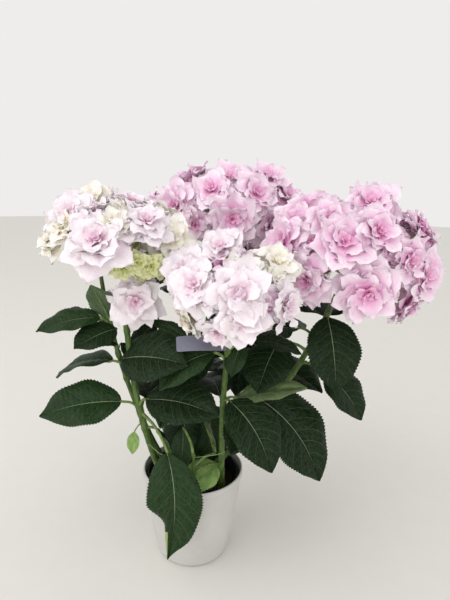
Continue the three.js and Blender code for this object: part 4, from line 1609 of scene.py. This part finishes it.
class StalkNodes(GrowingNodes):
    """The geometry nodes that give a set of lines their girth."""

    def __init__(self) -> None:
        """Builds the tree: lines to curves, a round section scaled by girth, and the finish."""
        super().__init__("StalkTubes", {"Sides": "Int", "Finish": "Material"})
        start, node = self.start, self.node
        curves = node("GeometryNodeMeshToCurve", {"Mesh": start["Geometry"]})
        girth = node("GeometryNodeInputNamedAttribute", {"Name": "girth"}, data_type="FLOAT")
        ring = node("GeometryNodeCurvePrimitiveCircle", {"Resolution": start["Sides"], "Radius": 1.0})
        section = {"Curve": curves, "Profile Curve": ring, "Scale": girth, "Fill Caps": True}
        tubes = node("GeometryNodeRealizeInstances", [node("GeometryNodeCurveToMesh", section)])
        skin = {"Geometry": tubes, "Material": start["Finish"]}
        add(self.tree, "NodeGroupOutput", [node("GeometryNodeSetMaterial", skin)])

    def build(
        self,
        name: str,
        lines: Sequence[tuple[Sequence[Vector], Sequence[float]]],
        finish: Material,
        sides: int = 8,
    ) -> bpy.types.Object:
        """Makes one piece of all the lines.

        Args:
            name: The piece's name.
            lines: The points of each line and the girth at each, in millimetres.
            finish: The material.
            sides: Corners round each tube.

        Returns:
            The piece.
        """
        points, girths, edges = [], [], []
        for line, girth in lines:
            edges += [(len(points) + i, len(points) + i + 1) for i in range(len(line) - 1)]
            points += [tuple(point * MM) for point in line]
            girths += [g * MM for g in girth]
        plan = bpy.data.meshes.new(name)
        plan.from_pydata(points, edges, [])
        girth_data = plan.attributes.new("girth", "FLOAT", "POINT").data
        girth_data.foreach_set("value", np.array(girths, dtype=np.float32))
        return grown_piece(name, plan, self, {"Sides": sides, "Finish": finish})


def grown_piece(name: str, plan: bpy.types.Mesh, nodes: GrowingNodes, values: dict) -> bpy.types.Object:
    """Runs a node tree on a plan and keeps the result as a plain mesh.

    Args:
        name: The piece's name.
        plan: The mesh that the tree reads.
        nodes: The geometry nodes.
        values: What each of their inputs is set to, by name.

    Returns:
        The piece, with no modifier and none of the plan's own attributes.
    """
    holder = linked(f"{name}_plan", plan)
    modifier = holder.modifiers.new("grow", "NODES")
    modifier.node_group = nodes.tree
    for label, value in values.items():
        modifier[nodes.inputs[label]] = value
    scene_graph = bpy.context.evaluated_depsgraph_get()
    ready = holder.evaluated_get(scene_graph)
    mesh = bpy.data.meshes.new_from_object(ready, preserve_all_data_layers=True, depsgraph=scene_graph)
    mesh.name = name
    bpy.data.objects.remove(holder)
    for own in ("girth", "turn", "size", "cut", "tone"):
        if own in mesh.attributes:
            mesh.attributes.remove(mesh.attributes[own])
    mesh.polygons.foreach_set("use_smooth", np.ones(len(mesh.polygons), dtype=bool))
    used = np.empty(len(mesh.polygons), dtype=np.int32)
    mesh.polygons.foreach_get("material_index", used)
    for slot in reversed(range(len(mesh.materials))):
        if slot not in used:
            mesh.materials.pop(index=slot)
    return linked(name, mesh)


@dataclass(frozen=True)
class Ring:
    """A ring of sepals in a floret, with its length and width as shares of the floret's width."""

    sepals: int
    start: float
    long: float
    wide: float
    lift: float
    height: float
    heart: bool = False


RINGS = (
    Ring(4, 0.0, 0.52, 0.53, -10, 0.0),
    Ring(4, 45.0, 0.5, 0.5, 6, 1.2),
    Ring(4, 20.0, 0.44, 0.42, 18, 2.4),
    Ring(4, 64.0, 0.35, 0.31, 30, 3.6),
    Ring(3, 12.0, 0.23, 0.17, 44, 4.4, heart=True),
    Ring(3, 70.0, 0.14, 0.1, 62, 5.0, heart=True),
)
HEARTS = {Tone.BLUSH: Tone.HEART, Tone.PINK: Tone.ROSE_HEART, Tone.ROSE: Tone.ROSE_HEART}


@dataclass(frozen=True)
class Cut:
    """How a sepal is bent: its sides' and its tip's rise, its margin's waves and its twist in radians."""

    cup: float
    curl: float
    ripple: float
    twist: float


CUTS = (
    Cut(0.16, -0.12, 0.1, 0.1),
    Cut(0.3, -0.02, 0.08, 0.3),
    Cut(0.08, -0.06, 0.14, 0.4),
    Cut(0.22, 0.1, 0.12, -0.35),
)


class SepalNodes(GrowingNodes):
    """The geometry nodes that set a sepal on each point."""

    def __init__(self) -> None:
        """Builds the tree: a cut on each point, turned and sized, then the finishes by tone."""
        finishes = {tone: tone.name.title() for tone in Tone}
        kinds = {"Sepals": "Collection"} | dict.fromkeys(finishes.values(), "Material")
        super().__init__("SepalSpray", kinds)
        node, reader = self.node, "GeometryNodeInputNamedAttribute"
        turn = node(reader, {"Name": "turn"}, data_type="FLOAT_VECTOR")
        shape = self.instances(
            self.start["Geometry"],
            self.start["Sepals"],
            instance_index=node(reader, {"Name": "cut"}, data_type="INT"),
            rotation=node("FunctionNodeEulerToRotation", [turn]),
            scale=node(reader, {"Name": "size"}, data_type="FLOAT_VECTOR"),
        )
        own_tone = node(reader, {"Name": "tone"}, data_type="INT")
        for tone, label in finishes.items():
            pair = {2: own_tone, 3: tone.value}
            same = node("FunctionNodeCompare", pair, data_type="INT", operation="EQUAL")
            skin = {"Geometry": shape, "Selection": same, "Material": self.start[label]}
            shape = node("GeometryNodeSetMaterial", skin)
        add(self.tree, "NodeGroupOutput", [shape])


@dataclass
class Blossoms:
    """The flower heads: florets of thin, overlapping, pointed sepals."""

    marks: tuple[float, ...] = (0, 0.07, 0.17, 0.27, 0.37, 0.47, 0.57, 0.67, 0.76, 0.85, 0.93, 1)
    columns: int = 5
    thin: float = 0.012
    tooth: float = 0.07
    rise: float = 0.5
    taper: float = 1.0

    def __post_init__(self) -> None:
        """Makes the cut shapes of a sepal and the nodes that spray them."""
        self.cuts = bpy.data.collections.new("sepal_cuts")
        for i, cut in enumerate(CUTS):
            self.cuts.objects.link(self._cut(f"sepal_cut_{i}", cut))
        self.nodes = SepalNodes()

    def _cut(self, name: str, cut: Cut) -> bpy.types.Object:
        """Makes a sepal 1 long and 1 wide along +Y.

        Args:
            name: The shape's name.
            cut: How it is bent.

        Returns:
            The shape's object.
        """
        v, u = np.meshgrid(np.array(self.marks), np.linspace(-1, 1, self.columns), indexing="ij")
        full = v**self.rise * (1 - v) ** self.taper
        widest = self.rise / (self.rise + self.taper)
        full /= widest**self.rise * (1 - widest) ** self.taper
        saw = np.where(np.arange(len(self.marks)) % 2 == 1, self.tooth, -self.tooth)[:, None]
        half = 0.5 * np.maximum(full, np.where(v < 0.5, 0.16, 0.02)) * (1 + saw * u**4)
        x = u * half
        y = v - 0.04 * u**2 * (1 - v)
        z = cut.cup * (np.abs(u) - 0.5 * u**4) * half * 2 + cut.curl * v**2.5
        z += cut.ripple * np.sin(3.6 * np.pi * v + u * 2.2) * u**2
        cos, sin = np.cos(cut.twist * v), np.sin(cut.twist * v)
        upper = np.stack([x * cos - z * sin, y, x * sin + z * cos], axis=-1)
        lower = upper - np.array([0, 0, self.thin])
        places = both_faces(*[np.stack([0.5 + 0.5 * u, v], axis=-1)] * 2)
        quads, _, creases = two_sided(len(self.marks), self.columns)
        skin = Skin()
        skin.take(both_faces(upper, lower) / MM, quads, 0, places, creases)
        return bpy.data.objects.new(name, skin.mesh(name, [], mapped=True))

    def build(self, growth: Growth, finishes: dict[Tone, Material]) -> list[bpy.types.Object]:
        """Makes a piece for each head.

        Args:
            growth: What the rule grew.
            finishes: The material of each tone.

        Returns:
            The pieces.
        """
        made = []
        values = {"Sepals": self.cuts} | {tone.name.title(): finishes[tone] for tone in Tone}
        for number, (name, florets) in enumerate(growth.florets.items()):
            draw = SeededDraw(number + 40)
            rows = [row for spot, spin in florets for row in self._floret(spot, spin, draw)]
            places, turns, sizes, cuts, tones = (list(column) for column in zip(*rows))
            plan = bpy.data.meshes.new(f"florets_{name}")
            plan.from_pydata(places, [], [])
            for label, vectors in (("turn", turns), ("size", sizes)):
                data = plan.attributes.new(label, "FLOAT_VECTOR", "POINT").data
                data.foreach_set("vector", np.array(vectors, dtype=np.float32).ravel())
            for label, numbers in (("cut", cuts), ("tone", tones)):
                data = plan.attributes.new(label, "INT", "POINT").data
                data.foreach_set("value", np.array(numbers, dtype=np.int32))
            piece = grown_piece(f"blossom_{name}", plan, self.nodes, values)
            made.append(placed(piece, f"blossom_{name}", [f"flower_head_{name}"]))
        return made

    @staticmethod
    def _floret(spot: Spot, spin: float, draw: SeededDraw) -> list[tuple]:
        """Lists where the sepals of a floret go.

        Args:
            spot: Where the floret sits.
            spin: How far it is turned about its own normal, in radians.
            draw: The draw that its unevenness comes from.

        Returns:
            The place, turn, size, cut and tone of each sepal.
        """
        up = (spot.normal + facing(draw.between(0, 360), draw.between(-40, 80)) * 0.22).normalized()
        side, other = floret_axes(up)
        rows = []
        for ring in RINGS[1:] if spot.inner else RINGS:
            for k in range(ring.sepals):
                turn = spin + math.radians(ring.start + 360 * k / ring.sepals + draw.between(-14, 28))
                lift = math.radians(ring.lift + draw.between(-12, 24))
                out = side * math.cos(turn) + other * math.sin(turn)
                along = out * math.cos(lift) + up * math.sin(lift)
                face = up * math.cos(lift) - out * math.sin(lift)
                matrix = Matrix((along.cross(face), along, face)).transposed()
                place = spot.place + up * (ring.height - 1) + out * 0.8
                across = spot.across * (0.88 if spot.normal.z < -0.4 else 1)
                long = ring.long * across * draw.between(0.93, 0.12)
                wide = ring.wide * across * draw.between(0.92, 0.18)
                tone = HEARTS.get(spot.tone, spot.tone) if ring.heart else spot.tone
                size = (wide * MM, long * MM, long * MM)
                cut = int(draw.between(0, len(CUTS) - 0.001))
                rows.append((tuple(place * MM), tuple(matrix.to_euler()), size, cut, tone.value))
        return rows


@dataclass
class Stems:
    """The stems, with the swellings where leaves leave them and shallow flutes in their bark."""

    sides: int = 20
    spacing: float = 3.0
    swelling: float = 0.9
    flute: float = 0.12
    wrinkle: float = 0.22

    def build(self, growth: Growth, stalks: StalkNodes) -> None:
        """Makes the stems, the leaf stalks and the flower stalks.

        Args:
            growth: What the rule grew.
            stalks: The nodes that give lines their girth.
        """
        skin = Skin()
        for number, shoot in enumerate(SHOOTS.values()):
            marks = [leaf.pose.at for leaf in growth.leaves[shoot.name]]
            skin.take(*self._stem(shoot, marks, number))
        piece = skin.piece("stems", [material_of(STEM_GREEN)])
        placed(piece, "stem", [f"stem_{name}" for name in SHOOTS])
        lines = [self._leaf_stalk(leaf) for leaves in growth.leaves.values() for leaf in leaves]
        placed(stalks.build("leaf_stalks", lines, material_of(STALK_GREEN)), "stem", [])
        placed(stalks.build("flower_stalks", growth.flower_stalks, material_of(FLOWER_STALK)), "stem", [])

    def _stem(self, shoot: Shoot, marks: Sequence[float], number: int) -> Grid:
        """Makes one stem.

        Args:
            shoot: Its shoot.
            marks: The shares of its length where leaves leave it.
            number: The shoot's number, so that no two barks are alike.

        Returns:
            The corners and the quads.
        """
        length = shoot.path.length

        def radius(share: float) -> float:
            """Gives the radius at a share, swollen near the leaves."""
            near = sum(math.exp(-(((share - mark) * length / 3.5) ** 2)) for mark in marks)
            return shoot.radius_at(share) + self.swelling * min(1.2, near)

        def relief(share: float, turn: float) -> float:
            """Gives the bark's relief: five shallow flutes and its wrinkles."""
            wrinkle = noise.noise(Vector((turn * 1.4, share * length / 9, number * 7.0)))
            return self.flute * math.cos(5 * turn + share * 3) + self.wrinkle * wrinkle

        return tube(shoot.path, radius, self.sides, round(length / self.spacing), relief)

    @staticmethod
    def _leaf_stalk(leaf: Leaf) -> tuple[list[Vector], list[float]]:
        """Gives a leaf stalk's line, carried on under the blade as its tapering midrib.

        Args:
            leaf: The leaf.

        Returns:
            The line's points and the girth at each.
        """
        shares = np.linspace(0.05, 0.82, 9)
        centre, _, above = leaf.frames(shares)
        girth = leaf.girth
        depth = 0.01 * leaf.pose.long + 0.5
        under = [Vector(c - a * (depth + girth * 0.7 * (1 - s))) for c, a, s in zip(centre, above, shares)]
        line = [*leaf.stalk.points[:-8:2], *under]
        taper = [girth * (1 - 0.75 * s) * 0.8 for s in shares]
        base = len(line) - len(under)
        return line, [girth * (1.35 - 0.35 * min(1, i / 4)) for i in range(base)] + taper


@dataclass
class Pot:
    """A pot turned about Z: its plain half section in the solids, and the full one, up the outside.

    The cover pot has a smooth belly that widens to a raised band under a rolled rim. The nursery pot
    inside it is thin walled, with a small turned-out lip.
    """

    node: str
    finish: Finish
    sides: int
    plain_section: Outline
    section: Outline

    def build(self) -> None:
        """Makes the pot."""
        skin = Skin()
        skin.take(*lathe(self.section, self.sides))
        placed(skin.piece(f"{self.node}_shell", [material_of(self.finish)]), self.node, [self.node])


COVER_POT = Pot(
    "pot",
    POT_WHITE,
    144,
    (
        (0, 0), (45, 0), (49, 4.4), (51, 11), (57, 45), (66.4, 114.7), (68.1, 116), (68.5, 123), (67.5, 125),
        (65.9, 125), (63.8, 114.7), (54.4, 45), (48.4, 4), (0, 4),
    ),
    (
        (1, 1.2), (20, 1.2), (39, 1.2), (40.6, 0.6), (41.4, 0.1), (42.4, 0), (45.2, 0), (46.8, 0.5),
        (48.2, 1.8), (49.3, 4), (50.3, 7.4), (51.1, 11), (52.2, 17), (53.6, 25), (55.2, 34.5), (57, 45),
        (58.6, 55), (60.2, 66), (61.8, 77.5), (63.3, 89), (64.7, 100.5), (65.7, 109), (66.2, 113.2),
        (66.25, 114.2), (66.35, 114.8), (67.0, 115.4), (67.9, 115.9), (68.3, 116.8), (68.45, 118.6),
        (68.5, 120.6), (68.42, 122.6), (68.1, 123.9), (67.5, 124.7), (66.8, 125), (66.1, 124.8), (65.7, 124),
        (65.5, 122), (65.2, 118), (64.6, 113), (63.2, 103), (61, 86), (58.4, 67), (54.6, 45), (52, 28),
        (50, 14), (48.6, 7), (47, 4.8), (44.6, 4), (20, 4), (1, 4),
    ),
)
NURSERY_POT = Pot(
    "nursery_pot",
    POT_BLACK,
    96,
    ((0, 4.3), (44, 4.3), (62.4, 119), (60.8, 119), (42.4, 6.3), (0, 6.3)),
    (
        (1, 4.4), (30, 4.4), (42, 4.4), (43.6, 4.9), (44.2, 6.2), (47.9, 29), (51.9, 54), (55.9, 79),
        (59.4, 101.5), (60.9, 111.6), (61.3, 113.2), (61.9, 113.8), (62.3, 115), (62.4, 117.4), (62.1, 118.6),
        (61.5, 119), (60.9, 118.8), (60.6, 118), (60.1, 114), (55.4, 85), (50.1, 52), (45.8, 25), (43, 7.4),
        (42, 6.4), (30, 6.3), (1, 6.3),
    ),
)


class CrumbNodes(GrowingNodes):
    """The geometry nodes that scatter crumbs over the soil."""

    def __init__(self) -> None:
        """Builds the tree: points on the soil, a turned crumb on each, and the finish."""
        kinds = {"Shapes": "Collection", "Density": "Float", "Least": "Float", "Most": "Float"}
        super().__init__("SoilCrumbs", kinds | {"Seed": "Int", "Finish": "Material"})
        start, node, seed = self.start, self.node, self.start["Seed"]
        sown = {"Mesh": start["Geometry"], 4: start["Density"], "Seed": seed}
        any_turn = {0: (0.0, 0.0, 0.0), 1: (6.28, 6.28, 6.28), "Seed": seed}
        spin = node("FunctionNodeRandomValue", any_turn, data_type="FLOAT_VECTOR")
        any_size = {2: start["Least"], 3: start["Most"], "Seed": seed}
        crumbs = self.instances(
            node("GeometryNodeDistributePointsOnFaces", sown),
            start["Shapes"],
            rotation=node("FunctionNodeEulerToRotation", [spin]),
            scale=node("FunctionNodeRandomValue", any_size, 1, data_type="FLOAT"),
        )
        skin = {"Geometry": crumbs, "Material": start["Finish"]}
        add(self.tree, "NodeGroupOutput", [node("GeometryNodeSetMaterial", skin)])


@dataclass(frozen=True)
class CrumbKind:
    """A kind of crumb: its piece, its finish, how many a square metre has, and its sizes in metres."""

    piece: str
    finish: Finish
    density: float
    least: float
    most: float
    seed: int


CRUMBS = (
    CrumbKind("peat_crumbs", PEAT, 60000.0, 0.0012, 0.0034, 3),
    CrumbKind("bark_crumbs", BARK_CRUMB, 9000.0, 0.0014, 0.0036, 7),
    CrumbKind("grit_crumbs", WHITE_GRIT, 2600.0, 0.0008, 0.0016, 9),
)


@dataclass
class Soil:
    """The compost: a lumpy body with crumbs of peat, bark and white grit on it."""

    sides: int = 96
    lump: float = 1.6
    lumpy_above: float = 100.0
    plain_section: Outline = ((0, 6.6), (41.8, 6.6), (57.8, 104), (0, 104))
    section: Outline = (
        (1, 6.6), (20, 6.6), (40.6, 6.6), (41.6, 8), (45, 30), (49.6, 55), (54, 82), (57, 99.8),
        (57.2, 101.6), (56.4, 102.6), (53, 103), (48, 103), (43, 103.2), (38, 103.2), (33, 103), (28, 102.8),
        (23, 102.8), (18, 103), (13, 103.2), (8, 103.2), (4, 103.2), (1, 103.2),
    )
    bed: Outline = ((1, 103.4), (20, 103.2), (40, 103.2), (56, 102.2))

    def build(self) -> None:
        """Makes the soil and its crumbs."""
        corners, quads = lathe(self.section, self.sides)
        for corner in corners:
            if corner[2] > self.lumpy_above:
                coarse, fine = (noise.noise(Vector(corner) / size) * self.lump for size in (14, 5))
                wave = coarse + fine / 2
                corner[2] = min(SOIL_TOP - 0.1, corner[2] + wave - 0.5)
        skin = Skin()
        skin.take(corners, quads)
        placed(skin.piece("compost", [material_of(PEAT)]), "soil", ["soil"])
        top = Skin()
        top.take(*lathe(self.bed, self.sides // 2))
        nodes = CrumbNodes()
        shapes = self._shapes()
        for crumb in CRUMBS:
            values = {"Shapes": shapes, "Density": crumb.density, "Least": crumb.least}
            values |= {"Most": crumb.most, "Seed": crumb.seed, "Finish": material_of(crumb.finish)}
            piece = grown_piece(crumb.piece, top.mesh(f"{crumb.piece}_bed", []), nodes, values)
            placed(piece, "soil", [])

    @staticmethod
    def _shapes() -> bpy.types.Collection:
        """Makes three crumb shapes, 1 across, from a rough ball of a few faces.

        Returns:
            The collection that holds them.
        """
        found = bpy.data.collections.new("crumb_shapes")
        for number in range(3):
            corners, quads = lathe(((0.12, -0.5), (0.42, -0.26), (0.5, 0.05), (0.36, 0.34), (0.1, 0.48)), 6)
            for corner in corners:
                corner *= 1 + 0.35 * noise.noise(Vector(corner) * 3 + Vector((number * 5.0, 0, 0)))
                corner *= (1.0, 0.62 + 0.14 * number, 0.5 + 0.1 * number)
            skin = Skin()
            skin.take(corners / MM, quads)
            name = f"crumb_shape_{number}"
            found.objects.link(bpy.data.objects.new(name, skin.mesh(name, [])))
        return found


@dataclass
class Label:
    """The bare card and the thin tie that held it."""

    long: float = 56.0
    wide: float = 34.0
    thick: float = 0.8
    tilt: float = 12.0
    turn: float = 6.0
    centre: tuple[float, float, float] = (10.8, -76.0, 328.0)
    corner: float = 3.0
    bow: float = 1.1
    tie_at: float = 0.235
    tie_girth: float = 0.45

    def _place(self, corners: np.ndarray) -> np.ndarray:
        """Tilts and turns the flat card to where it hangs.

        Args:
            corners: Corners of the flat card.

        Returns:
            The same corners in place.
        """
        angles = ((self.turn, "Z"), (self.tilt, "X"))
        turn, tilt = (Matrix.Rotation(math.radians(angle), 3, axis) for angle, axis in angles)
        return corners @ np.array(turn @ tilt).T + np.array(self.centre)

    def plain(self) -> Shape:
        """Gives the plain card that the clearance is tested with.

        Returns:
            The card as a plain box.
        """
        ends = np.array([(x, y, z) for x in (-1, 1) for y in (-1, 1) for z in (-1, 1)])
        flat = ends * (self.long / 2, self.wide / 2, self.thick / 2)
        faces = [(0, 1, 3, 2), (4, 6, 7, 5), (0, 4, 5, 1), (2, 3, 7, 6), (0, 2, 6, 4), (1, 5, 7, 3)]
        return [Vector(c) for c in self._place(flat)], faces

    def build(self) -> None:
        """Makes the card, with rounded corners and a slight bow."""
        near = np.array([0, 0.25, 0.7, 1.4, 2.2, 3.0])
        along = np.concatenate([near, np.linspace(5, self.long - 5, 12), (self.long - near)[::-1]])
        across = np.linspace(-1, 1, 13)
        ends = np.clip(self.corner - np.minimum(along, self.long - along), 0, self.corner)
        half = self.wide / 2 - (self.corner - np.sqrt(self.corner**2 - ends**2))
        v, u = np.meshgrid(along, across, indexing="ij")
        x = v - self.long / 2
        y = u * half[:, None]
        z = self.bow * (1 - (2 * x / self.long) ** 2) - self.bow / 2
        upper = np.stack([x, y, z + self.thick / 4], axis=-1)
        lower = np.stack([x, y, z - self.thick / 4], axis=-1)
        quads, _, creases = two_sided(len(along), len(across))
        skin = Skin()
        skin.take(self._place(both_faces(upper, lower)), quads[:, ::-1], 0, None, creases)
        placed(skin.piece("bare_card", [material_of(CARD_PLASTIC)]), "label", ["label"])

    def build_tie(self, stalks: StalkNodes) -> None:
        """Makes the thin tie that runs low from the left stem to the front one.

        Args:
            stalks: The nodes that give lines their girth.
        """
        left, front = SHOOTS["left"].path.at(self.tie_at), SHOOTS["front"].path.at(self.tie_at)
        points = [
            left + Vector((-4.6, -1, 1)),
            left + Vector((1, -5.2, 0)),
            Vector((-37, -46, 167)),
            Vector((-8, -45, 163)),
            front + Vector((-1, -4.8, 0)),
            front + Vector((4.4, -1, 1)),
        ]
        line = through(points, 6).points
        piece = stalks.build("stem_tie", [(line, [self.tie_girth] * len(line))], material_of(TIE_PLASTIC))
        placed(piece, "label", [])


@dataclass
class Studio:
    """The pale floor, the soft light and the camera at the photograph's angle."""

    eye: tuple[float, float, float] = (28.2, -619.7, 512.8)
    pitch: float = 13.76
    yaw: float = 0.94
    roll: float = -1.40
    focal: float = 500.4
    picture: tuple[int, int] = (450, 600)
    sky: str = "e8e7e6"
    sky_strength: float = 1.06
    aim: tuple[float, float, float] = (0.02, 0.0, 0.32)
    floor_drop: float = -0.1

    def build(self) -> None:
        """Makes the floor, lights and camera."""
        self._camera()
        skin = Skin()
        rings, sides = (1, 400, 1500, 6000), 64
        corners, quads = lathe([(radius, self.floor_drop) for radius in rings], sides)
        without_caps = quads[: (len(rings) - 1) * sides]
        skin.take(corners, without_caps[:, ::-1])
        floor = skin.piece("floor", [material_of(FLOOR_PAINT)])
        world = bpy.data.worlds.new("studio")
        world.use_nodes = True
        sky = {"Color": linear(self.sky), "Strength": self.sky_strength}
        feed(world.node_tree.nodes["Background"], sky)
        bpy.context.scene.world = world
        self._light("key", (-1.2, -1.0, 1.6), 2.4, 18.0, "fffdfc")
        self._light("fill", (0.7, -1.6, 0.6), 1.4, 4.0, "fffcfc")
        bpy.context.scene.view_settings.view_transform = "Standard"

    def _light(
        self, name: str, place: tuple[float, float, float], size: float, power: float, colour: str
    ) -> None:
        """Adds a square soft light that faces the plant's middle.

        Args:
            name: The light's name.
            place: Where it hangs, in metres.
            size: Its side in metres.
            power: Its power in watts.
            colour: Its colour as six hex digits.
        """
        lamp = bpy.data.lights.new(name, "AREA")
        lamp.size, lamp.energy, lamp.color = size, power, linear(colour)[:3]
        aim = Vector(self.aim) - Vector(place)
        turn = aim.to_track_quat("-Z", "Y").to_matrix().to_4x4()
        linked(name, lamp).matrix_world = Matrix.Translation(place) @ turn

    def _camera(self) -> None:
        """Adds the camera, from its place in millimetres, its angles and its focal length in pixels."""
        pitch, yaw, roll = (math.radians(angle) for angle in (self.pitch, self.yaw, self.roll))
        forward = Vector((math.sin(yaw) * math.cos(pitch), math.cos(yaw) * math.cos(pitch), -math.sin(pitch)))
        right = Vector((math.cos(yaw), -math.sin(yaw), 0))
        up = right.cross(forward)
        across = right * math.cos(roll) - up * math.sin(roll)
        upward = right * math.sin(roll) + up * math.cos(roll)
        lens = bpy.data.cameras.new("photo_view")
        lens.sensor_width = 36.0
        lens.lens = self.focal / max(self.picture) * lens.sensor_width
        lens.clip_start = 0.01
        made = linked("photo_view", lens)
        turn = Matrix((across, upward, -forward)).transposed().to_4x4()
        made.matrix_world = Matrix.Translation(Vector(self.eye) * MM) @ turn
        bpy.context.scene.camera = made


def plain_lathe(section: Sequence[tuple[float, float]], sides: int) -> Shape:
    """Turns a plain half section, with its radii and heights, into a shape for the clearance test."""
    corners, quads = lathe([(max(radius, 0.1), height) for radius, height in section], sides)
    return [Vector(c) for c in corners], [tuple(int(c) for c in quad) for quad in quads]


def main() -> None:
    """Builds the object in order, from the pot up."""
    logging.basicConfig(level=logging.INFO, format="%(name)s %(message)s")
    Studio().build()
    soil, label = Soil(), Label()
    for sub_assembly in (COVER_POT, NURSERY_POT, soil, label):
        sub_assembly.build()
    growth = Growth({
        "pot": plain_lathe(COVER_POT.plain_section, 28),
        "nursery_pot": plain_lathe(NURSERY_POT.plain_section, 20),
        "soil": plain_lathe(soil.plain_section, 20),
        "label": label.plain(),
    })
    stalks = StalkNodes()
    Stems().build(growth, stalks)
    label.build_tie(stalks)
    Blades("leaves_front_left", ("left", "far_left")).build(growth)
    Blades("leaves_front_right", ("front", "right", "low_front")).build(growth)
    Blades("leaves_rear", ("back", "rear_right", "rear_left", "low_rear")).build(growth)
    Blossoms().build(growth, {tone: material_of(SEPALS[tone]) for tone in Tone})


if __name__ == "__main__":
    main()
